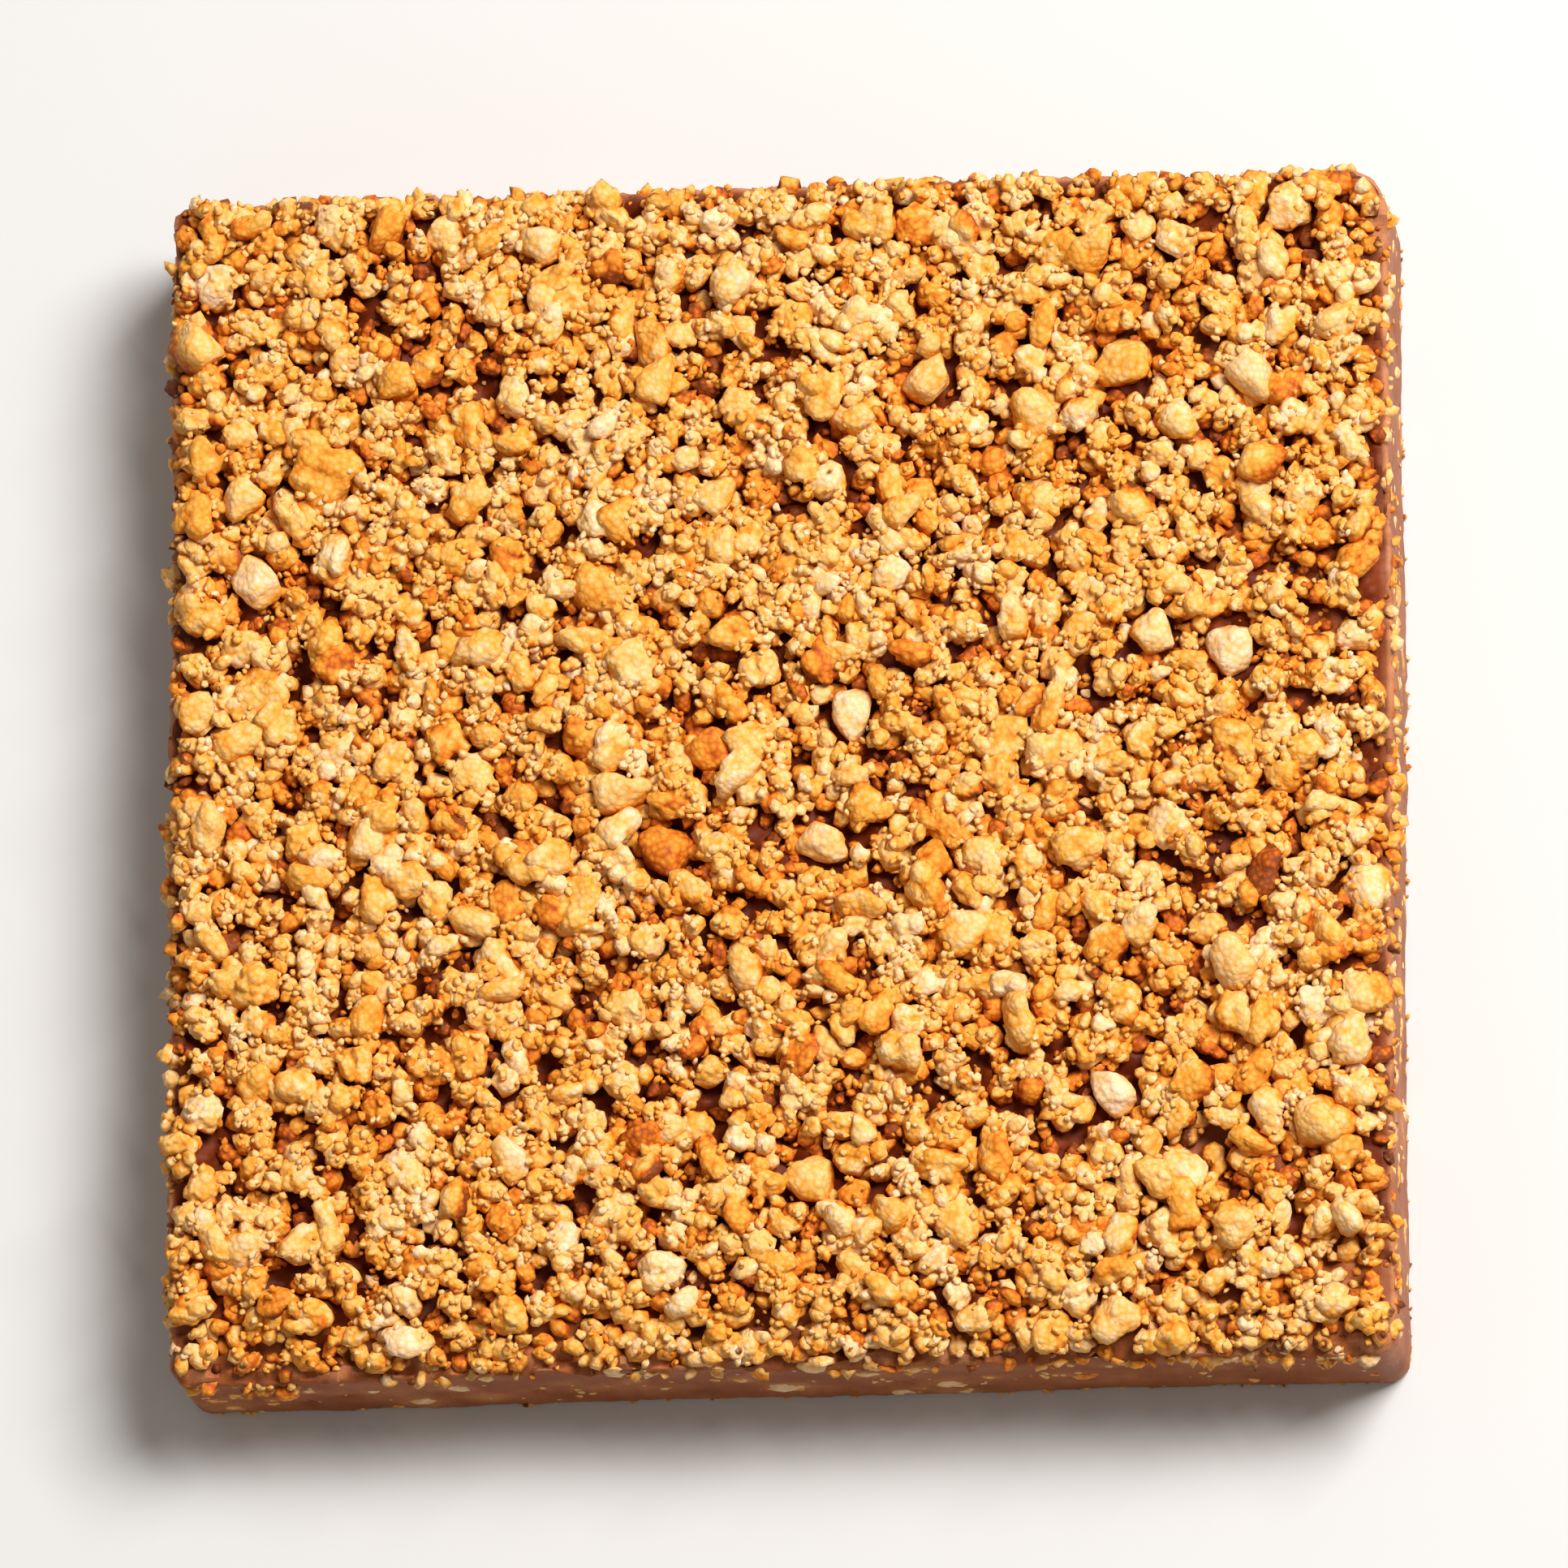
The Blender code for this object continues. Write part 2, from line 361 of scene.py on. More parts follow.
@cache
def domed_ball(count: int) -> tuple[np.ndarray, np.ndarray]:
    """Make a ball of radius 1 whose points lie closest together on top, where a crumb shows.

    Args:
        count: how many points it has.

    Returns:
        Its points, and its triangles as rows of three point numbers.
    """
    share = (np.arange(count) + 0.5) / count
    height = 1.0 - 2.0 * share**CROWDING
    across = np.sqrt(1.0 - height**2)
    angle = np.arange(count) * GOLDEN_TURN
    points = np.column_stack([across * np.cos(angle), across * np.sin(angle), height])
    shape = bmesh.new()
    for point in points:
        shape.verts.new(point)
    shape.verts.index_update()
    bmesh.ops.convex_hull(shape, input=shape.verts[:])
    bmesh.ops.recalc_face_normals(shape, faces=shape.faces[:])
    faces = np.array([[vertex.index for vertex in face.verts] for face in shape.faces])
    shape.free()
    return points, faces


@dataclass(frozen=True)
class Chip:
    """A broken piece of nut: flat breaks with worn edges.

    Attributes:
        normals: outward directions of the breaks, as rows.
        distances: of the breaks from the middle.
        sharpness: the higher, the crisper the edges.
        roughness: height of the small lumps, as a share of the radius.
        seed: number that the lumps are drawn with.
        drawn_distances: least and most distance of a drawn chip's breaks.
        closing_distances: the same of the six that close it.
        drawn_sharpness: least and most sharpness of a drawn chip.
        drawn_roughness: roughness of a drawn chip.
        cornered_sharpness: sharpness of a chip that is made of corners.
        cornered_roughness: its roughness.
        broad_lump: length of the small lumps.
        close_lump: length of the smallest.
        close_share: height of the smallest, as a share of the others'.
        lump_shade: how much more the lumps are roasted.
    """

    normals: np.ndarray
    distances: np.ndarray
    sharpness: float
    roughness: float
    seed: int
    drawn_distances: tuple[float, float] = (0.33, 0.50)
    closing_distances: tuple[float, float] = (0.44, 0.52)
    drawn_sharpness: tuple[float, float] = (6.0, 16.0)
    drawn_roughness: float = 0.07
    cornered_sharpness: float = 14.0
    cornered_roughness: float = 0.05
    broad_lump: float = 1.1
    close_lump: float = 0.45
    close_share: float = 0.6
    lump_shade: float = 0.04

    @staticmethod
    def drawn(draw: np.random.Generator, breaks: int, seed: int) -> Chip:
        """Draw a chip.

        Args:
            draw: source of the random numbers.
            breaks: how many breaks it has besides the six that close it.
            seed: number that its small lumps are drawn with.

        Returns:
            The chip.
        """
        normals = draw.normal(size=(breaks, 3))
        normals /= np.linalg.norm(normals, axis=1, keepdims=True)
        closing = np.concatenate([np.eye(3), -np.eye(3)])
        drawn = draw.uniform(*Chip.drawn_distances, breaks)
        distances = np.concatenate([drawn, draw.uniform(*Chip.closing_distances, len(closing))])
        sharpness = draw.uniform(*Chip.drawn_sharpness)
        return Chip(np.concatenate([normals, closing]), distances, sharpness, Chip.drawn_roughness, seed)

    @staticmethod
    def of_corners(corners: np.ndarray, seed: int) -> Chip:
        """Take the flat faces round some corners as the breaks.

        Args:
            corners: places as rows.
            seed: number that the small lumps are drawn with.

        Returns:
            The chip.
        """
        shape = bmesh.new()
        for corner in corners:
            shape.verts.new(corner)
        bmesh.ops.convex_hull(shape, input=shape.verts[:])
        bmesh.ops.recalc_face_normals(shape, faces=shape.faces[:])
        normals = np.array([face.normal[:] for face in shape.faces])
        distances = np.array([face.normal.dot(face.verts[0].co) for face in shape.faces])
        shape.free()
        return Chip(normals, distances, Chip.cornered_sharpness, Chip.cornered_roughness, seed)

    def reach(self, directions: np.ndarray) -> np.ndarray:
        """Give the distance from the middle to the surface in each direction."""
        facing = np.maximum(directions @ self.normals.T / self.distances, 0.0)
        return (facing**self.sharpness).sum(axis=1) ** (-1.0 / self.sharpness)

    def surface(self, directions: np.ndarray) -> tuple[np.ndarray, np.ndarray]:
        """Give the radius and the roast of the chip in each direction.

        Args:
            directions: as rows.

        Returns:
            The radius and how much more it is roasted there.
        """
        broad = Ripple(self.broad_lump, self.seed, FEW_WAVES).at(directions)
        close = Ripple(self.close_lump, self.seed + 1, FEW_WAVES).at(directions)
        lumps = 1.0 + self.roughness * (broad + self.close_share * close)
        return self.reach(directions) * lumps, self.lump_shade * broad


@dataclass(frozen=True)
class Bumps:
    """Bumps of one kind on a clump, round with a few flat breaks.

    Attributes:
        count: how many there are.
        smallest: radius of the smallest, as a share of the clump's length.
        largest: radius of the largest.
        sunk: least and most depth of their middles under the surface, as shares of the radius.
    """

    count: int
    smallest: float
    largest: float
    sunk: tuple[float, float] = (0.15, 0.80)


@dataclass(frozen=True)
class Clump:
    """Fine crumbs that stick together in a lump.

    Attributes:
        core: the form that they fill.
        bumps: the crumbs that stand out, the broad ones first.
        seed: number that they are drawn with.
        sunk: radius between the crumbs, as a share of the core's.
        most: largest radius, as a share of the core's.
        gap_shade: how much darker the clump is painted between the crumbs, as painted shade in the creases.
        gap_kept: share of that painted shade which each crumb keeps of what it covers.
        bump_shade: middle and spread of what a crumb adds.
        ups: lowest and highest direction of a crumb, from -1 to 1.
        stray: how far a crumb strays round the clump.
        size_fall: the higher, the more small crumbs there are.
        least_seat: least distance of a crumb's seat, as a share of the core's radius.
        breaks: how many flat breaks a crumb has.
        break_distances: their least and most distance from its middle, as shares of its radius.
        grain: height of the finest lumps, as a share of the radius.
        grain_length: their length.
    """

    core: Chip
    bumps: tuple[Bumps, ...]
    seed: int
    sunk: float = 0.76
    most: float = 1.26
    gap_shade: float = 0.16
    gap_kept: float = 0.5
    bump_shade: tuple[float, float] = (-0.03, 0.07)
    ups: tuple[float, float] = (-0.2, 0.98)
    stray: float = 0.6
    size_fall: float = 1.5
    least_seat: float = 0.9
    breaks: int = 7
    break_distances: tuple[float, float] = (0.60, 1.15)
    grain: float = 0.03
    grain_length: float = 0.35

    def surface(self, directions: np.ndarray) -> tuple[np.ndarray, np.ndarray]:
        """Give the radius and the roast of the clump in each direction.

        Args:
            directions: as rows.

        Returns:
            The radius and how much more it is roasted there.
        """
        draw = np.random.default_rng(self.seed)
        plain = self.core.reach(directions)
        radius = self.sunk * plain
        # Painted shade: the creases between the crumbs start out painted darker
        shade = np.full(len(directions), self.gap_shade)
        for kind in self.bumps:
            for number in range(kind.count):
                up = draw.uniform(*self.ups)
                angle = number * GOLDEN_TURN + draw.uniform(-self.stray, self.stray)
                across = math.sqrt(1.0 - up * up)
                way = np.array([across * math.cos(angle), across * math.sin(angle), up])
                size = kind.smallest + (kind.largest - kind.smallest) * draw.random() ** self.size_fall
                least = self.least_seat * self.core.reach(way[None])[0]
                seat = max(radius[np.argmax(directions @ way)], least)
                out = self.bump(directions, way * (seat - size * draw.uniform(*kind.sunk)), size, draw)
                over = self.gap_kept * shade + draw.normal(*self.bump_shade)
                shade = np.where(out > radius, over, shade)
                radius = np.minimum(np.maximum(radius, out), self.most * plain)
        grain = Ripple(self.grain_length, self.seed, FEW_WAVES).at(directions)
        return radius * (1.0 + self.grain * grain), shade

    def bump(
        self, directions: np.ndarray, middle: np.ndarray, size: float, draw: np.random.Generator
    ) -> np.ndarray:
        """Give how far out one bump lies in each direction, and 0 where it isn't met.

        Args:
            directions: as rows.
            middle: of the bump.
            size: its radius.
            draw: source of the random numbers.

        Returns:
            The distance from the clump's middle to the bump's far side.
        """
        along = directions @ middle
        half_chord = np.sqrt(np.maximum(along**2 - middle @ middle + size**2, 0.0))
        breaks = draw.normal(size=(self.breaks, 3))
        breaks /= np.linalg.norm(breaks, axis=1, keepdims=True)
        facing = directions @ breaks.T
        distances = breaks @ middle + size * draw.uniform(*self.break_distances, self.breaks)
        crossing = distances / np.where(facing == 0.0, 1.0, facing)
        far = np.minimum(along + half_chord, np.where(facing > 0.0, crossing, np.inf).min(axis=1))
        near = np.maximum(along - half_chord, np.where(facing < 0.0, crossing, 0.0).max(axis=1))
        return np.where(far > near, far, 0.0)


def formed(kind: Chip | Clump, count: int, underside_shade: float) -> Form:
    """Make a crumb's form, painted darker and more orange towards its underside as painted shade.

    Args:
        kind: what it is.
        count: how many points it has.
        underside_shade: how much darker it is painted there, as painted shade.

    Returns:
        The form.
    """
    directions, faces = domed_ball(count)
    radius, shade = kind.surface(directions)
    # Painted shade: the underside is painted as if more deeply roasted
    low = 1.0 - smooth_step((directions[:, 2] + LOW_START) / LOW_SPAN)
    return Form(directions * radius[:, None], faces, shade + underside_shade * low)


def uneven(length: float, draw: np.random.Generator) -> np.ndarray:
    """Draw the length, breadth and height of a loose crumb of this length."""
    return length * np.array([1.0, draw.uniform(*BREADTHS), draw.uniform(*HEIGHTS)])


class Roast(Enum):
    """How far a crumb is roasted: middle and spread from raw cream to brown skin, and how often."""

    PALE = (0.10, 0.06, 0.30)
    GOLDEN = (0.28, 0.09, 0.54)
    DEEP = (0.48, 0.08, 0.12)
    TOASTED = (0.57, 0.05, 0.03)
    SKIN = (0.76, 0.05, 0.012)

    @staticmethod
    def pick(draw: np.random.Generator) -> Roast:
        """Draw a roast as often as it comes."""
        odds = np.array([roast.value[2] for roast in Roast])
        return list(Roast)[int(draw.choice(len(odds), p=odds / odds.sum()))]

    def draw(self, draw: np.random.Generator) -> float:
        """Draw one crumb's place on the scale."""
        middle, spread, _ = self.value
        return float(np.clip(draw.normal(middle, spread), 0.0, 1.0))


@dataclass
class Heap:
    """Crumbs that make up one piece.

    Attributes:
        name: of the piece.
        points: the points of each crumb.
        faces: the triangles of each crumb.
        tones: the roast, with the painted shade, and the chocolate share of each point.
        count: how many points there are so far.
    """

    name: str
    points: list[np.ndarray] = field(default_factory=list)
    faces: list[np.ndarray] = field(default_factory=list)
    tones: list[np.ndarray] = field(default_factory=list)
    count: int = 0

    def add(self, form: Form, frame: np.ndarray, middle: np.ndarray, roast: float, coat: float) -> None:
        """Add a crumb.

        Args:
            form: its form.
            frame: its turn and size, as a 3 by 3 matrix.
            middle: its place.
            roast: how far it is roasted, with any painted shade.
            coat: how much chocolate covers it, from 0 to 1.
        """
        points = form.points @ frame.T + middle
        points[:, 2] = np.maximum(points[:, 2], LOWEST)
        self.points.append(points)
        self.faces.append(form.faces + self.count)
        tone = np.empty((len(form.points), 4))
        tone[:, 0] = np.clip(form.shade + roast, 0.0, 1.0)
        tone[:, 1:] = (coat, 0.0, 1.0)
        self.tones.append(tone)
        self.count += len(form.points)

    def piece(self, material: bpy.types.Material) -> bpy.types.Object:
        """Make the heap an object that rides on the body and stands for the CAD's node.

        Args:
            material: of the crumbs.

        Returns:
            The object.
        """
        made = solid(self.name, np.concatenate(self.points), np.concatenate(self.faces), material)
        tones = made.data.color_attributes.new(TONE, "FLOAT_COLOR", "POINT")
        tones.data.foreach_set("color", np.concatenate(self.tones).astype(np.float32).ravel())
        return made


def solid(
    name: str, points: np.ndarray, faces: np.ndarray, material: bpy.types.Material
) -> bpy.types.Object:
    """Make a smooth mesh object that rides on the body and stands for the CAD's node.

    Args:
        name: of the object.
        points: its points as rows.
        faces: its triangles as rows of three point numbers.
        material: of its surface.

    Returns:
        The object.
    """
    mesh = bpy.data.meshes.new(name)
    mesh.vertices.add(len(points))
    mesh.vertices.foreach_set("co", points.astype(np.float32).ravel())
    mesh.loops.add(faces.size)
    mesh.loops.foreach_set("vertex_index", faces.astype(np.int32).ravel())
    mesh.polygons.add(len(faces))
    mesh.polygons.foreach_set("loop_start", np.arange(0, faces.size, 3, dtype=np.int32))
    mesh.update(calc_edges=True)
    mesh.shade_smooth()
    mesh.materials.append(material)
    made = bpy.data.objects.new(name, mesh)
    bpy.context.scene.collection.objects.link(made)
    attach(made, BODY)
    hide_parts(NODE)
    log.info("%s: %d triangles", name, len(faces))
    return made


class Nodes:
    """A material's node tree, with short calls for the nodes that the finishes use."""

    def __init__(self, name: str) -> None:
        """Start a material with its shader and output.

        Args:
            name: of the material.
        """
        self.material = bpy.data.materials.new(name)
        self.material.use_nodes = True
        self.tree = self.material.node_tree
        self.shader = self.tree.nodes["Principled BSDF"]

    def add(self, kind: str, **settings: object) -> bpy.types.Node:
        """Add a node.

        Args:
            kind: the node's type without ShaderNode.
            settings: its properties.

        Returns:
            The node.
        """
        node = self.tree.nodes.new("ShaderNode" + kind)
        for name, value in settings.items():
            setattr(node, name, value)
        return node

    def link(self, source: bpy.types.NodeSocket, target: bpy.types.NodeSocket) -> None:
        """Link two sockets."""
        self.tree.links.new(source, target)

    def colour(self, name: str) -> bpy.types.Node:
        """Read a colour attribute of the mesh.

        Args:
            name: of the attribute.

        Returns:
            The node with its red, green and blue parts.
        """
        tone = self.add("VertexColor", layer_name=name)
        parts = self.add("SeparateColor")
        self.link(tone.outputs["Color"], parts.inputs["Color"])
        return parts

    def plain(self, colour: tuple[float, float, float]) -> bpy.types.NodeSocket:
        """Add one colour, to be mixed with others.

        Args:
            colour: its red, green and blue.

        Returns:
            The socket of the colour.
        """
        node = self.add("RGB")
        node.outputs[0].default_value = (*colour, 1.0)
        return node.outputs[0]

    def speckle(
        self, size: float, detail: float = 2.0, stretch: tuple[float, float, float] = (1.0, 1.0, 1.0)
    ) -> bpy.types.NodeSocket:
        """Add noise over the object.

        Args:
            size: of its lumps, in metres.
            detail: how many finer layers it has.
            stretch: how much closer its lumps lie along each axis.

        Returns:
            The socket of its value, from 0 to 1.
        """
        place = self.add("TexCoord")
        spread = self.add("Mapping")
        spread.inputs["Scale"].default_value = stretch
        lumps = self.add("TexNoise")
        lumps.inputs["Scale"].default_value = 1.0 / size
        lumps.inputs["Detail"].default_value = detail
        self.link(place.outputs["Object"], spread.inputs["Vector"])
        self.link(spread.outputs["Vector"], lumps.inputs["Vector"])
        return lumps.outputs["Fac"]

    def cells(self, size: float) -> bpy.types.Node:
        """Add cells over the object.

        Args:
            size: distance from cell to cell, in metres.

        Returns:
            The node with their distances and colours.
        """
        place = self.add("TexCoord")
        cells = self.add("TexVoronoi", feature="F1")
        cells.inputs["Scale"].default_value = 1.0 / size
        self.link(place.outputs["Object"], cells.inputs["Vector"])
        return cells

    def grains(self, size: float) -> bpy.types.NodeSocket:
        """Add round grains over the object.

        Args:
            size: distance from grain to grain, in metres.

        Returns:
            The socket of their height, from 0 in the creases to 1 in the middle of a grain.
        """
        height = self.add("Math", operation="SUBTRACT", use_clamp=True)
        height.inputs[0].default_value = 1.0
        self.link(self.cells(size).outputs["Distance"], height.inputs[1])
        return height.outputs[0]

    def flecks(self, spacing: float, share: float, size: float) -> bpy.types.NodeSocket:
        """Add flecks of uneven size over the object.

        Args:
            spacing: distance between the places that may hold one, in metres.
            share: of those places that hold one.
            size: radius of the largest, as a share of the spacing.

        Returns:
            The socket of their cover, 1 in a fleck and 0 outside.
        """
        cells = self.cells(spacing)
        drawn = self.add("SeparateColor")
        self.link(cells.outputs["Color"], drawn.inputs["Color"])
        radius = self.add("MapRange")
        radius.inputs["From Min"].default_value = 1.0 - share
        radius.inputs["To Max"].default_value = size
        self.link(drawn.outputs["Red"], radius.inputs["Value"])
        inside = self.add("Math", operation="LESS_THAN")
        self.link(cells.outputs["Distance"], inside.inputs[0])
        self.link(radius.outputs["Result"], inside.inputs[1])
        return inside.outputs[0]

    def ramp(
        self, value: bpy.types.NodeSocket, stops: tuple[tuple[float, tuple[float, ...]], ...]
    ) -> bpy.types.NodeSocket:
        """Turn a value into a colour.

        Args:
            value: the socket of the value.
            stops: places from 0 to 1 with their colours.

        Returns:
            The socket of the colour.
        """
        node = self.add("ValToRGB")
        elements = node.color_ramp.elements
        while len(elements) < len(stops):
            elements.new(0.5)
        for element, (place, colour) in zip(elements, stops):
            element.position = place
            element.color = (*colour, 1.0)
        self.link(value, node.inputs["Fac"])
        return node.outputs["Color"]

    def shares(
        self, value: bpy.types.NodeSocket, low: float, high: float, most: float = 1.0
    ) -> bpy.types.NodeSocket:
        """Turn a value into a share for blend: 0 up to low, and the most of it from high on."""
        return self.ramp(value, ((low, (0.0, 0.0, 0.0)), (high, (most, most, most))))

    def blend(
        self, share: bpy.types.NodeSocket, low: bpy.types.NodeSocket, high: bpy.types.NodeSocket
    ) -> bpy.types.NodeSocket:
        """Mix two colours by a share.

        Args:
            share: the socket of the second colour's share.
            low: the socket of the first colour.
            high: the socket of the second.

        Returns:
            The socket of the mixed colour.
        """
        node = self.add("Mix", data_type="RGBA")
        self.link(share, node.inputs[MIX_SHARE])
        self.link(low, node.inputs[MIX_LOW])
        self.link(high, node.inputs[MIX_HIGH])
        return node.outputs[MIX_COLOUR]

    def sum(
        self, first: bpy.types.NodeSocket, second: bpy.types.NodeSocket, weight: float, less: float = 0.5
    ) -> bpy.types.NodeSocket:
        """Give first + (second - less) * weight.

        Args:
            first: the socket of one value.
            second: the socket of the other.
            weight: what the other is multiplied by.
            less: what is taken off it before.

        Returns:
            The socket of the sum.
        """
        scaled = self.add("Math", operation="MULTIPLY_ADD")
        scaled.inputs[1].default_value = weight
        scaled.inputs[2].default_value = -less * weight
        self.link(second, scaled.inputs[0])
        total = self.add("Math", operation="ADD")
        self.link(first, total.inputs[0])
        self.link(scaled.outputs[0], total.inputs[1])
        return total.outputs[0]

    def spread(self, value: bpy.types.NodeSocket, low: float, high: float) -> bpy.types.NodeSocket:
        """Map a value from 0 to 1 on to a range.

        Args:
            value: the socket of the value.
            low: start of the range.
            high: its end.

        Returns:
            The socket of the mapped value.
        """
        node = self.add("MapRange")
        node.inputs["To Min"].default_value = low
        node.inputs["To Max"].default_value = high
        self.link(value, node.inputs["Value"])
        return node.outputs["Result"]

    def bumps(self, heights: tuple[tuple[bpy.types.NodeSocket, float], ...]) -> None:
        """Give the shader relief.

        Args:
            heights: the socket of each relief and its height in metres, broadest first.
        """
        last = None
        for value, height in heights:
            node = self.add("Bump")
            node.inputs["Distance"].default_value = height
            node.inputs["Strength"].default_value = 1.0
            self.link(value, node.inputs["Height"])
            if last is not None:
                self.link(last.outputs["Normal"], node.inputs["Normal"])
            last = node
        self.link(last.outputs["Normal"], self.shader.inputs["Normal"])


@dataclass(frozen=True)
class RoastedNut:
    """The finish of crushed roasted peanut.

    Attributes:
        name: of the material.
        scale: colours from raw cream to brown skin.
        coat: colour of the chocolate that smears it.
        smeared: smear from which chocolate shows, and from which it covers the nut.
        mottle: size of the colour's patches.
        mottle_detail: how many finer layers they have.
        mottled_roast: how much the roast changes with them.
        mottled_smear: how much the smear changes with them.
        mottle_relief: height of their relief.
        grain: size of the broken surface's grain.
        grain_crease_shade: how much the painted roast changes from a crease to the middle of a grain:
            painted shade in the creases, and slightly paler grain middles.
        grain_middle: the grain's height that changes nothing.
        grain_relief: height of its relief.
        roughness: of the surface, least and most.
        specular: strength of its sheen.
    """

    name: str
    scale: tuple[tuple[float, tuple[float, float, float]], ...] = (
        (0.00, (0.83, 0.60, 0.40)),
        (0.28, (0.81, 0.465, 0.155)),
        (0.50, (0.77, 0.325, 0.036)),
        (0.70, (0.68, 0.185, 0.012)),
        (0.86, (0.44, 0.080, 0.006)),
        (1.00, (0.20, 0.042, 0.007)),
    )
    coat: tuple[float, float, float] = (0.15, 0.036, 0.010)
    smeared: tuple[float, float] = (0.45, 0.60)
    mottle: float = 0.8 * MM
    mottle_detail: float = 3.0
    mottled_roast: float = 0.40
    mottled_smear: float = 0.9
    mottle_relief: float = 0.10 * MM
    grain: float = 0.34 * MM
    grain_crease_shade: float = -0.38
    grain_middle: float = 0.75
    grain_relief: float = 0.08 * MM
    roughness: tuple[float, float] = (0.52, 0.75)
    specular: float = 0.20

    def material(self) -> bpy.types.Material:
        """Make the material.

        Returns:
            The material.
        """
        nodes = Nodes(self.name)
        parts = nodes.colour(TONE)
        mottle = nodes.speckle(self.mottle, self.mottle_detail)
        grain = nodes.grains(self.grain)
        roast = nodes.sum(parts.outputs["Red"], mottle, self.mottled_roast)
        # Painted shade: the grain's creases are painted darker and its middles a little paler
        roast = nodes.sum(roast, grain, self.grain_crease_shade, self.grain_middle)
        nut = nodes.ramp(roast, self.scale)
        smear = nodes.shares(nodes.sum(parts.outputs["Green"], mottle, self.mottled_smear), *self.smeared)
        nodes.link(nodes.blend(smear, nut, nodes.plain(self.coat)), nodes.shader.inputs["Base Color"])
        nodes.link(nodes.spread(grain, *self.roughness), nodes.shader.inputs["Roughness"])
        nodes.shader.inputs["Specular IOR Level"].default_value = self.specular
        nodes.bumps(((mottle, self.mottle_relief), (grain, self.grain_relief)))
        return nodes.material


@dataclass(frozen=True)
class MilkChocolate:
    """The finish of cut milk chocolate.

    Attributes:
        name: of the material.
        colours: from its darkest to its palest patches.
        covered_shade: the same, much darker, where crumbs cover it: painted shade under the crumbs, with
            some darkening by their oil.
        scuff: colour of its scuffed edges.
        scuffs: wear from which they show, wear from which they don't grow, and their most.
        halo: colour where nut shows through a thin skin of it.
        halos: the same three of the halos.
        fleck: colour of the finest crumbs of nut in it.
        fleck_spacing: distance between them.
        fleck_share: how many of the places between them hold one.
        fleck_size: radius of the largest, as a share of the spacing.
        cloud: size of the patches.
        cloud_detail: how many finer layers they have.
        clouded_scuffs: how much the scuffs change with them.
        scuffed_cloud: the patches' value that doesn't change the scuffs.
        clouded_halos: how much the halos change with them.
        cloud_relief: height of their relief.
        streak: distance between the knife's marks.
        streak_stretch: how much closer the marks lie along each axis.
        streaked_tone: how much they change the colour.
        streak_relief: height of their relief.
        grain: size of its fine grain.
        grained_tone: how much it changes the colour.
        grained_scuffs: how much the scuffs change with it.
        grained_halos: how much the halos change with it.
        grain_relief: height of its relief.
        roughness: of the surface, least and most.
        specular: strength of its sheen.
    """

    name: str
    colours: tuple[tuple[float, tuple[float, float, float]], ...] = (
        (0.30, (0.26, 0.066, 0.017)),
        (0.55, (0.34, 0.098, 0.028)),
        (0.75, (0.42, 0.142, 0.050)),
    )
    covered_shade: tuple[tuple[float, tuple[float, float, float]], ...] = (
        (0.30, (0.080, 0.010, 0.001)),
        (0.55, (0.130, 0.018, 0.002)),
        (0.75, (0.190, 0.032, 0.003)),
    )
    scuff: tuple[float, float, float] = (0.50, 0.21, 0.10)
    scuffs: tuple[float, float, float] = (0.45, 1.00, 0.8)
    halo: tuple[float, float, float] = (0.62, 0.25, 0.075)
    halos: tuple[float, float, float] = (0.20, 1.00, 0.75)
    fleck: tuple[float, float, float] = (0.78, 0.48, 0.28)
    fleck_spacing: float = 0.75 * MM
    fleck_share: float = 0.42
    fleck_size: float = 0.17
    cloud: float = 3.0 * MM
    cloud_detail: float = 4.0
    clouded_scuffs: float = 1.6
    scuffed_cloud: float = 0.55
    clouded_halos: float = 0.8
    cloud_relief: float = 0.04 * MM
    streak: float = 0.45 * MM
    streak_stretch: tuple[float, float, float] = (1.0, 1.0, 0.07)
    streaked_tone: float = 0.35
    streak_relief: float = 0.03 * MM
    grain: float = 0.12 * MM
    grained_tone: float = 0.15
    grained_scuffs: float = 0.8
    grained_halos: float = 0.9
    grain_relief: float = 0.012 * MM
    roughness: tuple[float, float] = (0.42, 0.64)
    specular: float = 0.12

    def material(self) -> bpy.types.Material:
        """Make the material.

        Returns:
            The material.
        """
        nodes = Nodes(self.name)
        parts = nodes.colour(TONE)
        cloud = nodes.speckle(self.cloud, self.cloud_detail)
        streak = nodes.speckle(self.streak, stretch=self.streak_stretch)
        grain = nodes.speckle(self.grain)
        tone = nodes.sum(cloud, streak, self.streaked_tone)
        tone = nodes.sum(tone, grain, self.grained_tone)
        shown = nodes.sum(parts.outputs["Blue"], cloud, self.clouded_halos)
        shown = nodes.sum(shown, grain, self.grained_halos)
        halo = nodes.shares(shown, *self.halos)
        cut = nodes.blend(halo, nodes.ramp(tone, self.colours), nodes.plain(self.halo))
        flecks = nodes.flecks(self.fleck_spacing, self.fleck_share, self.fleck_size)
        cut = nodes.blend(flecks, cut, nodes.plain(self.fleck))
        scuffed = nodes.sum(parts.outputs["Green"], cloud, self.clouded_scuffs, self.scuffed_cloud)
        scuffed = nodes.sum(scuffed, grain, self.grained_scuffs)
        cut = nodes.blend(nodes.shares(scuffed, *self.scuffs), cut, nodes.plain(self.scuff))
        # Painted shade: where crumbs lie on top, the chocolate is painted much darker
        skin = nodes.blend(parts.outputs["Red"], cut, nodes.ramp(tone, self.covered_shade))
        nodes.link(skin, nodes.shader.inputs["Base Color"])
        nodes.link(nodes.spread(streak, *self.roughness), nodes.shader.inputs["Roughness"])
        nodes.shader.inputs["Specular IOR Level"].default_value = self.specular
        nodes.bumps(
            ((cloud, self.cloud_relief), (streak, self.streak_relief), (grain, self.grain_relief))
        )
        return nodes.material


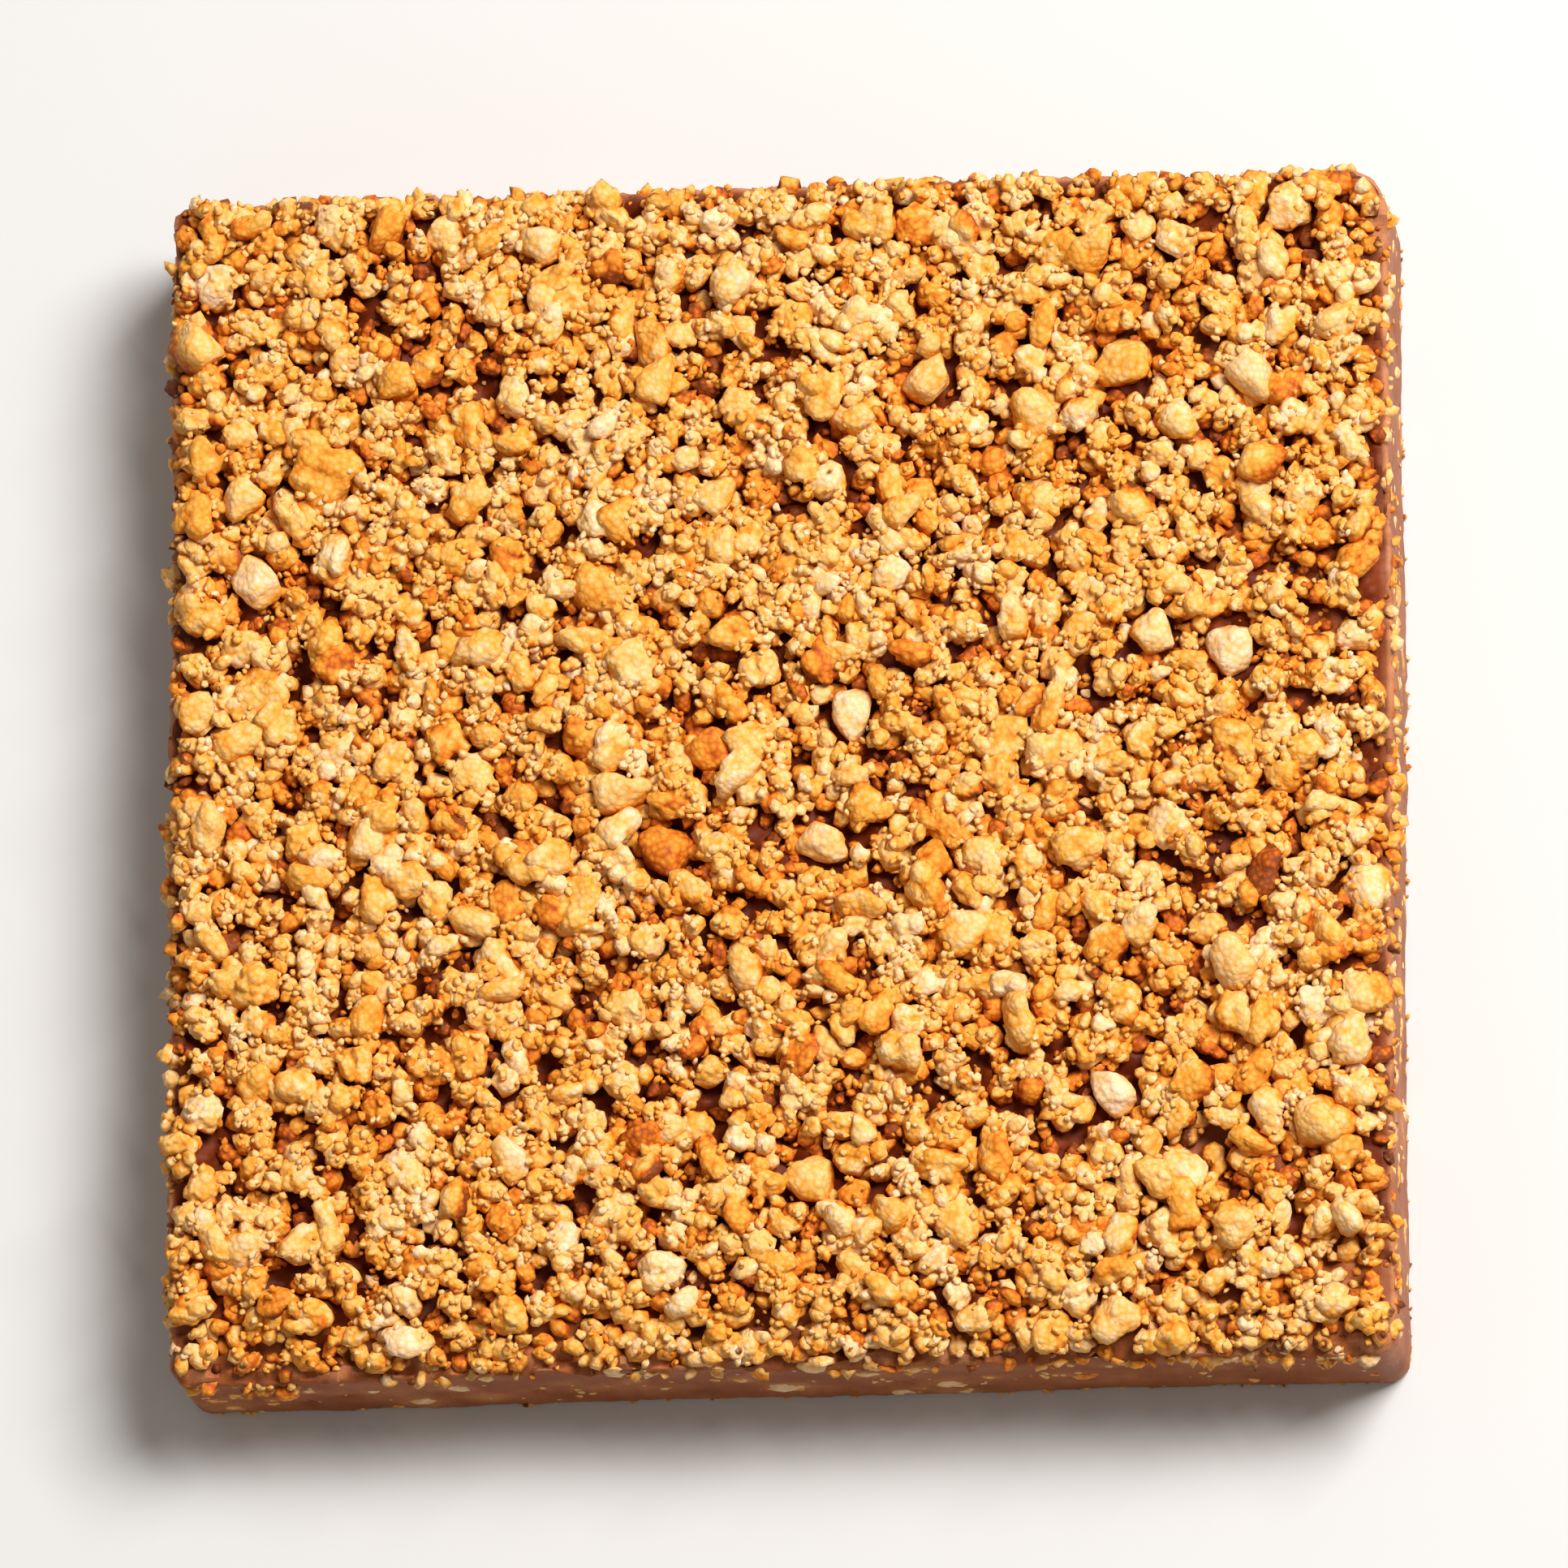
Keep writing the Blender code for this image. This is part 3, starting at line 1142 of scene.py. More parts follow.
@dataclass(frozen=True)
class PaleTable:
    """The finish of the surface that the square lies on."""

    name: str = "pale_table"
    colour: tuple[float, float, float] = (0.62, 0.62, 0.62)
    roughness: float = 0.35

    def material(self) -> bpy.types.Material:
        """Make the material.

        Returns:
            The material.
        """
        nodes = Nodes(self.name)
        nodes.shader.inputs["Base Color"].default_value = (*self.colour, 1.0)
        nodes.shader.inputs["Roughness"].default_value = self.roughness
        return nodes.material


@dataclass
class ChocolateBody:
    """The slab of milk chocolate with its cut sides.

    Attributes:
        slab: the square's form.
        cell: size of the mesh's cells on top.
        row_count: how many rows of cells its sides have.
        cover: depth of the crumbs that lie on the chocolate.
        bare_cover: share of it that goes where the chocolate is bare.
        top_relief: height of the top's lumps.
        top_lumps: their lengths, broad and close.
        broad_share: height of the broad ones, as a share of the close ones'.
        rim_round: how far the rim is drawn in and down.
        band_pits: how many round pits the near band has.
        band_reach: their distance from the near side, least and most, in millimetres.
        pit_radii: their radius, in millimetres.
        pit_depths: their depth, in millimetres.
        along: how far along a side pits and hidden nuts lie, as shares of it.
        knife_mark: distance between the knife's marks.
        mark_stretch: how much closer they lie along each axis.
        side_lump: length of the sides' lumps.
        crumble: length of the lumps that crumble off the rim and the foot.
        side_relief: height of the sides' relief.
        mark_share: height of the knife's marks, as a share of it.
        lump_share: height of the lumps, as a share of it.
        crumble_relief: height of what crumbles.
        rim_crumble: how far down from the rim it crumbles.
        foot_crumble: how far up from the foot it crumbles.
        foot_round: how far the foot is drawn in.
        side_pits: how many pits and slots the sides have.
        side_pit_heights: their height over the foot, least and most, in millimetres.
        side_pit_radii: their radius, in millimetres.
        side_pit_stretch: how much they are squeezed upright.
        side_pit_depths: their depth, in millimetres.
        scuff: width of the scuffed edges.
        corner_scuff: how much wider they are at the corners.
        halo_margin: how far a halo reaches beyond its nut, least and most.
        halo_fall: the higher, the more faint halos there are.
        hidden_nuts: how many nuts lie just under the skin of a side.
        hidden_sizes: length of the smallest and the largest.
        hidden_heights: how high they lie, as shares of the chocolate's height.
        hidden_strengths: how much they show, least and most.
        covered_rim: distance from the side over which the crumbs' cover, and the painted shade under it,
            begins.
        covered_bare: share of the cover and its painted shade which goes where the chocolate is bare.
        sharp_edge: angle between two faces above which their edge is sharp.
        seed: number that its relief and pits are drawn with.
    """

    slab: Slab
    cell: float = 0.33 * MM
    row_count: int = 28
    cover: float = 0.50 * MM
    bare_cover: float = 0.8
    top_relief: float = 0.23 * MM
    top_lumps: tuple[float, float] = (2.2 * MM, 1.1 * MM)
    broad_share: float = 0.7
    rim_round: tuple[float, float] = (0.12 * MM, 0.02 * MM)
    band_pits: int = 26
    band_reach: tuple[float, float] = (0.5, 2.6)
    pit_radii: tuple[float, float] = (0.22, 0.5)
    pit_depths: tuple[float, float] = (0.35, 0.7)
    along: tuple[float, float] = (-0.48, 0.48)
    knife_mark: float = 0.9 * MM
    mark_stretch: tuple[float, float, float] = (1.0, 1.0, 0.12)
    side_lump: float = 3.5 * MM
    crumble: float = 0.7 * MM
    side_relief: float = 0.05 * MM
    mark_share: float = 0.35
    lump_share: float = 0.8
    crumble_relief: float = 0.09 * MM
    rim_crumble: float = 0.9 * MM
    foot_crumble: float = 0.55 * MM
    foot_round: float = 0.30 * MM
    side_pits: int = 70
    side_pit_heights: tuple[float, float] = (0.8, 8.0)
    side_pit_radii: tuple[float, float] = (0.18, 0.42)
    side_pit_stretch: tuple[float, float] = (0.4, 1.1)
    side_pit_depths: tuple[float, float] = (0.15, 0.40)
    scuff: float = 0.75 * MM
    corner_scuff: float = 1.6
    halo_margin: tuple[float, float] = (0.10 * MM, 0.55 * MM)
    halo_fall: float = 1.5
    hidden_nuts: int = 14
    hidden_sizes: tuple[float, float] = (0.8 * MM, 2.2 * MM)
    hidden_heights: tuple[float, float] = (0.15, 0.95)
    hidden_strengths: tuple[float, float] = (0.4, 0.9)
    covered_rim: float = 0.5 * MM
    covered_bare: float = 0.85
    sharp_edge: float = math.radians(55.0)
    seed: int = 5

    def top(self, x: np.ndarray, y: np.ndarray) -> np.ndarray:
        """Give the chocolate's height under the crumbs.

        Args:
            x: places along X.
            y: places along Y.

        Returns:
            The height at each place.
        """
        places = np.column_stack([x.ravel(), y.ravel()])
        broad, close = self.top_lumps
        lumps = self.broad_share * Ripple(broad, self.seed).at(places)
        lumps = (lumps + Ripple(close, self.seed + 1).at(places)).reshape(x.shape)
        cover = self.cover * (1.0 - self.bare_cover * self.slab.bareness(x, y))
        return self.slab.bed_top(x, y) - cover + self.top_relief * lumps

    def pitted(self, x: np.ndarray, y: np.ndarray, height: np.ndarray) -> np.ndarray:
        """Sink the round pits of the near band into the top.

        Args:
            x: places along X.
            y: places along Y.
            height: of the top at each place.

        Returns:
            The sunk heights.
        """
        draw = np.random.default_rng(self.seed)
        for _ in range(self.band_pits):
            middle_x = draw.uniform(*self.along) * self.slab.width
            middle_y = draw.uniform(*self.band_reach) * MM - self.slab.depth / 2
            radius = draw.uniform(*self.pit_radii) * MM
            away = np.hypot(x - middle_x, y - middle_y) / radius
            height = height - draw.uniform(*self.pit_depths) * MM * np.exp(-(away**4))
        return height

    def ring(self, columns: int, lines: int) -> np.ndarray:
        """Give the numbers of the top grid's outer points, round against the clock."""
        number = np.arange((columns + 1) * (lines + 1)).reshape(columns + 1, lines + 1)
        return np.concatenate([number[:-1, 0], number[-1, :-1], number[:0:-1, -1], number[0, :0:-1]])

    def build(self, material: bpy.types.Material, cut_nuts: np.ndarray) -> bpy.types.Object:
        """Make the body.

        Args:
            material: of the chocolate.
            cut_nuts: middle and length of each nut that the knife has cut through.

        Returns:
            The object.
        """
        columns = round(self.slab.width / self.cell)
        lines = round(self.slab.depth / self.cell)
        plain_x, plain_y = np.meshgrid(
            np.linspace(-self.slab.width / 2, self.slab.width / 2, columns + 1),
            np.linspace(-self.slab.depth / 2, self.slab.depth / 2, lines + 1),
            indexing="ij",
        )
        x, y = self.slab.outline(plain_x, plain_y)
        z = self.pitted(plain_x, plain_y, self.top(plain_x, plain_y))
        points = np.column_stack([x.ravel(), y.ravel(), z.ravel()])
        ring = self.ring(columns, lines)
        rim = points[ring]
        along = np.roll(rim, -1, axis=0) - np.roll(rim, 1, axis=0)
        outward = np.column_stack([along[:, 1], -along[:, 0]])
        outward /= np.linalg.norm(outward, axis=1, keepdims=True)
        drawn_in, drawn_down = self.rim_round
        points[ring, :2] -= outward * drawn_in
        points[ring, 2] -= drawn_down
        rows = np.concatenate([self.side_row(rim, outward, share) for share in self.row_shares()])
        every = np.concatenate([points, self.pitted_sides(rows, len(ring), outward), [[0.0, 0.0, 0.0]]])
        made = solid("chocolate_body", every, self.faces(columns, lines), material)
        # Share of the painted shade under the crumbs, kept in the tone's red channel
        cover = np.zeros(len(every))
        bare = self.slab.bareness(plain_x, plain_y)
        inner = smooth_step(self.slab.inward(plain_x, plain_y) / self.covered_rim)
        cover[: plain_x.size] = (inner * (1.0 - self.covered_bare * bare)).ravel()
        opaque = np.ones(len(every))
        tones = np.column_stack([cover, self.wear(every, rim), self.halos(every, cut_nuts), opaque])
        layer = made.data.color_attributes.new(TONE, "FLOAT_COLOR", "POINT")
        layer.data.foreach_set("color", tones.astype(np.float32).ravel())
        made.data.set_sharp_from_angle(angle=self.sharp_edge)
        return made

    def faces(self, columns: int, lines: int) -> np.ndarray:
        """Join the points of the top, the sides' rows and the underside's middle.

        Args:
            columns: cells along X.
            lines: cells along Y.

        Returns:
            The triangles, as rows of three point numbers.
        """
        number = np.arange((columns + 1) * (lines + 1)).reshape(columns + 1, lines + 1)
        corners = (number[:-1, :-1], number[1:, :-1], number[1:, 1:], number[:-1, 1:])
        quads = [np.column_stack([corner.ravel() for corner in corners])]
        above = self.ring(columns, lines)
        count = number.size
        for _ in range(self.row_count):
            below = np.arange(count, count + len(above))
            quads.append(np.column_stack([above, below, np.roll(below, -1), np.roll(above, -1)]))
            count += len(above)
            above = below
        joined = np.concatenate(quads)
        under = np.column_stack([np.roll(above, -1), above, np.full(len(above), count)])
        return np.concatenate([joined[:, [0, 1, 2]], joined[:, [0, 2, 3]], under])

    def halos(self, points: np.ndarray, cut_nuts: np.ndarray) -> np.ndarray:
        """Say how much nut shows through the skin of the sides.

        Args:
            points: of the body.
            cut_nuts: middle and length of each nut that the knife has cut through.

        Returns:
            The share at each point.
        """
        draw = np.random.default_rng(self.seed + 20)
        nuts = [(*nut, draw.random() ** self.halo_fall) for nut in cut_nuts]
        for side in range(SIDES):
            for _ in range(self.hidden_nuts):
                x, y, _ = self.slab.side(side, draw.uniform(*self.along))[0]
                z = draw.uniform(*self.hidden_heights) * self.slab.chocolate_height
                length = draw.uniform(*self.hidden_sizes)
                nuts.append((x, y, z, length, draw.uniform(*self.hidden_strengths)))
        shown = np.zeros(len(points))
        outer = np.flatnonzero(self.slab.inward(points[:, 0], points[:, 1]) < self.scuff)
        for x, y, z, length, strength in nuts:
            reach = 0.5 * length + draw.uniform(*self.halo_margin)
            away = np.linalg.norm(points[outer] - (x, y, z), axis=1) / reach
            shown[outer] = np.maximum(shown[outer], strength * np.exp(-(away**2)))
        return shown

    def wear(self, points: np.ndarray, rim: np.ndarray) -> np.ndarray:
        """Say how much the knife has scuffed each point: most at the foot, the rim and the corners.

        Args:
            points: of the body.
            rim: the points of the top's rim.

        Returns:
            The share at each point, and 0 on top and on the underside.
        """
        from_corner = (self.slab.width / 2, self.slab.depth / 2) - np.abs(points[:, :2])
        corner = np.hypot(from_corner[:, 0], from_corner[:, 1]) / self.corner_scuff
        under_rim = np.median(rim[:, 2]) - points[:, 2]
        reach = np.minimum(np.minimum(corner, points[:, 2]), np.maximum(under_rim, 0.0))
        scuffed = 1.0 - smooth_step(reach / self.scuff)
        return np.where(self.slab.inward(points[:, 0], points[:, 1]) < self.scuff, scuffed, 0.0)

    def row_shares(self) -> np.ndarray:
        """Give the sides' rows as shares of the way down, closer together at both ends."""
        even = np.linspace(0.0, 1.0, self.row_count + 1)[1:]
        return (even + smooth_step(even)) / 2

    def side_row(self, rim: np.ndarray, outward: np.ndarray, share: float) -> np.ndarray:
        """Make one row of points round the sides.

        Args:
            rim: the points of the rim.
            outward: the way out at each of them.
            share: of the way down.

        Returns:
            The row's points.
        """
        row = rim.copy()
        row[:, 2] = rim[:, 2] * (1.0 - share)
        marks = Ripple(self.knife_mark, self.seed + 2).at(row * self.mark_stretch)
        lumps = Ripple(self.side_lump, self.seed + 3).at(row)
        crumbly = Ripple(self.crumble, self.seed + 4).at(row)
        near_rim = 1.0 - smooth_step((rim[:, 2] - row[:, 2]) / self.rim_crumble)
        near_foot = 1.0 - smooth_step(row[:, 2] / self.foot_crumble)
        out = self.side_relief * (self.mark_share * marks + self.lump_share * lumps)
        out = out + self.crumble_relief * crumbly * np.maximum(near_rim, near_foot)
        out = out - self.foot_round * near_foot**2
        row[:, :2] += outward * out[:, None]
        if share >= 1.0:
            row[:, 2] = 0.0
        return row

    def pitted_sides(self, rows: np.ndarray, around: int, outward: np.ndarray) -> np.ndarray:
        """Sink pits and slots into the sides.

        Args:
            rows: the points of all the rows.
            around: points in each row.
            outward: the way out at each point of a row.

        Returns:
            The sunk points.
        """
        draw = np.random.default_rng(self.seed + 9)
        ways = np.tile(outward, (len(rows) // around, 1))
        sunk = np.zeros(len(rows))
        for _ in range(self.side_pits):
            middle = rows[draw.integers(0, around)].copy()
            middle[2] = draw.uniform(*self.side_pit_heights) * MM
            stretch = np.array([1.0, 1.0, draw.uniform(*self.side_pit_stretch)])
            stretch = stretch / (draw.uniform(*self.side_pit_radii) * MM)
            away = np.linalg.norm((rows - middle) * stretch, axis=1)
            sunk = np.maximum(sunk, draw.uniform(*self.side_pit_depths) * MM * np.exp(-(away**4)))
        made = rows.copy()
        made[:, :2] -= ways * sunk[:, None]
        return made


@dataclass
class Surface:
    """The surface that crumbs come to rest on, as heights over a fine grid.

    Attributes:
        slab: the square's form.
        cell: size of the grid's cells.
        coarse: how many cells share a reading of the chocolate.
        pit_spacing: distance between the pits that open between the crumbs.
        pit_level: how rare they are.
        region_spacing: distance between the regions with many pits.
        region_depth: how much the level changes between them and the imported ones.
        pit_edge: how softly they begin.
        pit_seed: number that they are drawn with.
        band_thinned: share of the crumbs that the near band lacks at its left end.
        band_crossed: how much less it lacks at its right end.
        rim_open: width of the thinly covered rim at the left and the right.
        rim_widths: its width on the whole, and how much that changes, as shares of it.
        rim_spacing: distance between the places where it is broad.
        rim_thinned: share of the crumbs that it lacks.
        smear_width: distance from the sides within which chocolate smears the crumbs.
        smear_bare: how much it smears those on bare places.
        roast: how far the crumbs are roasted on the whole.
        tone_spacing: distances between paler and deeper roasted places, close and broad.
        tone_depth: how much each of them differ.
        seat_share: share of a crumb's reach that it rests on.
        heights: the height in each cell.
        bareness: how bare the chocolate stays in each cell, from 0 to 1.
        pits: how deep in a pit each cell is, from 0 to 1.
        smear: how much chocolate smears the crumbs of each cell.
        bed: height of the crumb bed in each cell, and below everything outside the square.
        tone: how far the crumbs of each cell are roasted.
        room: distance of each cell from the crumbs that stay uncovered.
    """

    slab: Slab
    cell: float = 0.10 * MM
    coarse: int = 4
    pit_spacing: float = 2.4 * MM
    pit_level: float = 0.66
    region_spacing: float = 11.0 * MM
    region_depth: float = 0.30
    pit_edge: float = 0.25
    pit_seed: int = 23
    band_thinned: float = 0.78
    band_crossed: float = 0.42
    rim_open: float = 0.7 * MM
    rim_widths: tuple[float, float] = (0.6, 0.9)
    rim_spacing: float = 4.5 * MM
    rim_thinned: float = 0.85
    smear_width: float = 2.2 * MM
    smear_bare: float = 0.7
    roast: float = 0.215
    tone_spacing: tuple[float, float] = (3.2 * MM, 9.0 * MM)
    tone_depth: tuple[float, float] = (0.085, 0.06)
    seat_share: float = 0.6
    heights: np.ndarray = field(init=False)
    bareness: np.ndarray = field(init=False)
    pits: np.ndarray = field(init=False)
    smear: np.ndarray = field(init=False)
    bed: np.ndarray = field(init=False)
    tone: np.ndarray = field(init=False)
    room: np.ndarray = field(init=False)

    def lay(self, top: Callable[[np.ndarray, np.ndarray], np.ndarray]) -> None:
        """Take the chocolate's top as the surface.

        Args:
            top: gives its height for places along X and Y.
        """
        columns = round(self.slab.width / self.cell)
        lines = round(self.slab.depth / self.cell)
        middles = self.middles(np.arange(0, columns, self.coarse), np.arange(0, lines, self.coarse))
        places = np.meshgrid(*middles, indexing="ij")
        rows = np.column_stack([place.ravel() for place in places])
        shape = places[0].shape
        level = self.pit_level + self.region_depth * Ripple(self.region_spacing, self.pit_seed + 2).at(rows)
        pits = smooth_step((Ripple(self.pit_spacing, self.pit_seed).at(rows) - level) / self.pit_edge)
        tone = np.full(len(rows), self.roast)
        for number, (spacing, depth) in enumerate(zip(self.tone_spacing, self.tone_depth)):
            tone += depth * Ripple(spacing, self.pit_seed + 3 + number).at(rows)
        crossed = self.band_thinned - self.band_crossed * smooth_step(places[0] / self.slab.width + 0.5)
        bare = np.maximum(self.slab.near_bareness(*places) * crossed, self.slab.inner_bareness(*places))
        edge = 1.0 - smooth_step(self.slab.inward(*places) / self.smear_width)
        width, change = self.rim_widths
        width = self.rim_open * (width + change * Ripple(self.rim_spacing, self.pit_seed + 9).at(rows))
        beyond = self.slab.width / 2 - np.abs(places[0]) - width.reshape(shape)
        bare = np.maximum(bare, self.rim_thinned * (1.0 - smooth_step(beyond / self.rim_open)))
        bed = np.where(self.slab.inside(*places), self.slab.bed_top(*places), -self.slab.depth)
        smear = np.maximum(edge, self.smear_bare * bare)
        room = np.full(shape, self.slab.width)
        coarse = (top(*places), bare, pits.reshape(shape), smear, bed, tone.reshape(shape), room)
        block = np.ones((self.coarse, self.coarse))
        fine = (np.kron(values, block)[:columns, :lines] for values in coarse)
        self.heights, self.bareness, self.pits, self.smear, self.bed, self.tone, self.room = fine

    def number(self, x: float, y: float) -> tuple[int, int]:
        """Give the cell at a place.

        Args:
            x: the place along X.
            y: the place along Y.

        Returns:
            Its column and line.
        """
        column = int((x + self.slab.width / 2) / self.cell)
        line = int((y + self.slab.depth / 2) / self.cell)
        last_column, last_line = self.heights.shape
        return min(max(column, 0), last_column - 1), min(max(line, 0), last_line - 1)

    def window(self, x: float, y: float, reach: float) -> tuple[slice, slice]:
        """Give the cells round a place.

        Args:
            x: the place along X.
            y: the place along Y.
            reach: how far they go.

        Returns:
            Their columns and lines, as slices.
        """
        cells = max(int(reach / self.cell), 1)
        column, line = (slice(max(at - cells, 0), at + cells + 1) for at in self.number(x, y))
        return column, line

    def seat(self, x: float, y: float, reach: float) -> float:
        """Give the height that a crumb of this reach comes to rest on."""
        return float(np.mean(self.heights[self.window(x, y, self.seat_share * reach)]))

    def uncover(self, x: float, y: float, reach: float) -> None:
        """Keep a crumb of this reach free of others."""
        across, along = self.middles(*(np.arange(count) for count in self.heights.shape))
        self.room = np.minimum(self.room, np.hypot(across[:, None] - x, along[None, :] - y) - reach)

    def middles(self, columns: np.ndarray, lines: np.ndarray) -> tuple[np.ndarray, np.ndarray]:
        """Give where columns of cells lie along X, and lines of cells along Y."""
        x = (columns + 0.5) * self.cell - self.slab.width / 2
        return x, (lines + 0.5) * self.cell - self.slab.depth / 2

    def heap(self, middle: np.ndarray, reach: float, height: float) -> None:
        """Raise the surface over a crumb.

        Args:
            middle: the crumb's place.
            reach: half its breadth.
            height: how high it holds up others over its middle.
        """
        columns, lines = self.window(middle[0], middle[1], reach)
        part = self.heights[columns, lines]
        x, y = self.middles(
            np.arange(columns.start, columns.start + part.shape[0]),
            np.arange(lines.start, lines.start + part.shape[1]),
        )
        away = ((x[:, None] - middle[0]) ** 2 + (y[None, :] - middle[1]) ** 2) / reach**2
        dome = middle[2] + height * np.sqrt(np.maximum(1.0 - away, 0.0))
        part[away < 1.0] = np.maximum(part, dome)[away < 1.0]


@dataclass(frozen=True)
class CrumbSize:
    """One size of loose crumb.

    Attributes:
        name: of the piece that they make.
        count: how many are dropped, of which some find no seat.
        largest: length of the largest.
        smallest: length of the smallest.
        fall: the higher, the more large ones there are.
        points: how many points each one's form has.
        clumped: share of them that are clumps of grains.
        underside_shade: how much darker they are painted underneath, as painted shade.
        tries: how many places are tried for the lowest seat.
        headroom: height over the bed above which none comes to rest.
        shyness: share of them that stays out of the pits.
        odd: share of them that is roasted otherwise than those round them.
        lift: how high their middles lie over what they rest on, as a share of their height.
        bumps: of the clumps.
        forms: how many different forms they have.
    """

    name: str
    count: int
    largest: float
    smallest: float
    fall: float
    points: int
    clumped: float
    underside_shade: float
    headroom: float
    shyness: float
    odd: float
    tries: int = 4
    lift: float = 0.14
    bumps: tuple[Bumps, ...] = (Bumps(5, 0.22, 0.34), Bumps(7, 0.12, 0.20))
    forms: int = 40


SIDE_BUMPS = (Bumps(6, 0.18, 0.32), Bumps(6, 0.10, 0.16))
CLUSTER_BUMPS = (Bumps(8, 0.19, 0.32), Bumps(22, 0.07, 0.15))


@dataclass
class CrumbBed:
    """The bed of crushed peanut on the chocolate.

    Attributes:
        slab: the square's form.
        surface: what the crumbs rest on.
        landmarks: place and length in millimetres, breadth and height share of the crumbs that
            stand out in the CAD, with their roast and whether they are clumps.
        landmark_growth: what brings rounded landmarks, clumps and others, back to size.
        drawn_count: how many more crumbs the CAD has.
        largest_drawn: length of their largest.
        smallest_drawn: length of their smallest.
        size_fall: how fast their number grows towards the small ones.
        tries: how many places are tried for the one with the most room.
        most_bare: hollowness above which the CAD has no crumb.
        breadths: least and most breadth, as shares of the length.
        heights: least and most height.
        lift: how far their middles lie above the bed, as a share of the height.
        tip: how far they tip over at most.
        crumb_seed: number that they are drawn with.
        shapes: how many different forms they have.
        corners: of each form.
        corner_reaches: least and most distance of a corner from the middle.
        corner_stray: how far a corner strays round the form.
        shape_seed: number that the forms are drawn with.
        odd: share of the drawn crumbs that are roasted otherwise than those round them.
        deepest: how far a drawn crumb is roasted at most.
        clustered: share of the drawn crumbs that are clusters.
        cluster_points: how many points a cluster has.
        cluster_low: how much darker it is painted underneath, as painted shade.
        chunk_points: how many points a chunk has.
        chunk_low: how much darker it is painted underneath, as painted shade.
        breaks: least and most number of a loose crumb's breaks.
        smeared: how much chocolate smears a crumb anyway, and how much more at the sides.
        smear_spread: how much neighbours differ in it.
        most_smeared: how much it smears a crumb at most.
        spill: share of a crumb's length by which it may stand out over the side.
        margin: share of its reach by which a crumb stays clear of uncovered ones.
        under: share of its height by which it may lie under them.
        tilt: how far loose crumbs tip over on the whole, in radians.
        pit_reach: share of a crumb's reach that stays out of the pits.
        gap_top: height over the bed at which the gaps between the crumbs begin.
        gap_depth: how deep they are.
        gap_painted_shade: how much darker the crumbs down in them are painted, as painted shade.
        pit_painted_shade: how much darker those in the pits are painted, as painted shade.
        roast_spread: how much neighbours differ.
        loose_seed: number that everything else is drawn with.
    """

    slab: Slab
    surface: Surface
    landmarks: tuple[tuple[tuple[float, float], float, float, float, Roast, bool], ...] = (
        ((-23.7, 16.5), 3.9, 0.94, 0.62, Roast.DEEP, True),
        ((-27.0, 4.7), 3.6, 0.90, 0.62, Roast.GOLDEN, True),
        ((-10.3, -7.3), 3.6, 0.66, 0.60, Roast.GOLDEN, True),
        ((-5.7, -4.2), 2.8, 0.86, 0.74, Roast.TOASTED, False),
        ((2.5, -4.0), 2.7, 0.72, 0.56, Roast.PALE, False),
        ((3.9, 2.9), 2.8, 0.62, 0.60, Roast.PALE, False),
        ((18.3, 21.0), 2.9, 0.88, 0.60, Roast.GOLDEN, False),
        ((8.0, 20.5), 2.8, 0.72, 0.62, Roast.PALE, False),
        ((23.9, 5.7), 2.7, 0.84, 0.66, Roast.PALE, False),
        ((19.8, 6.6), 2.3, 0.90, 0.78, Roast.PALE, False),
        ((-27.4, 10.7), 2.8, 0.80, 0.62, Roast.PALE, False),
        ((-3.3, 1.1), 2.4, 0.84, 0.70, Roast.TOASTED, False),
        ((1.8, -21.8), 2.6, 0.86, 0.62, Roast.GOLDEN, False),
        ((-19.5, -20.9), 2.7, 0.90, 0.62, Roast.GOLDEN, True),
        ((17.7, -17.7), 2.7, 0.60, 0.66, Roast.PALE, False),
    )
    landmark_growth: tuple[float, float] = (1.16, 1.42)
    drawn_count: int = 242
    largest_drawn: float = 3.3 * MM
    smallest_drawn: float = 1.9 * MM
    size_fall: float = 1.7
    tries: int = 7
    most_bare: float = 0.3
    breadths: tuple[float, float] = (0.70, 1.00)
    heights: tuple[float, float] = (0.60, 0.85)
    lift: float = 0.14
    tip: float = math.radians(26.0)
    crumb_seed: int = 41
    shapes: int = 9
    corners: int = 11
    corner_reaches: tuple[float, float] = (0.40, 0.54)
    corner_stray: float = math.radians(20.0)
    shape_seed: int = 700
    odd: float = 0.3
    deepest: float = 0.5
    clustered: float = 0.78
    cluster_points: int = 480
    cluster_low: float = 0.42
    chunk_points: int = 320
    chunk_low: float = 0.37
    breaks: tuple[int, int] = (4, 10)
    smeared: tuple[float, float] = (0.03, 0.40)
    smear_spread: float = 0.09
    most_smeared: float = 0.9
    spill: float = 0.2
    margin: float = 0.3
    under: float = 0.3
    tilt: float = 0.45
    pit_reach: float = 0.65
    gap_top: float = 0.45 * MM
    gap_depth: float = 0.95 * MM
    gap_painted_shade: float = 0.36
    pit_painted_shade: float = 0.26
    roast_spread: float = 0.055
    loose_seed: int = 19

    def chip(self, number: int) -> Chip:
        """Give one of the CAD's crumb forms.

        Args:
            number: of the form.

        Returns:
            The form.
        """
        draw = random.Random(self.shape_seed + number)
        corners = []
        for corner in range(self.corners):
            height = 1.0 - 2.0 * (corner + 0.5) / self.corners
            across = math.sqrt(1.0 - height * height)
            angle = corner * GOLDEN_TURN + draw.uniform(-self.corner_stray, self.corner_stray)
            place = np.array([across * math.cos(angle), across * math.sin(angle), height])
            corners.append(place * draw.uniform(*self.corner_reaches))
        return Chip.of_corners(np.array(corners), self.shape_seed + number)

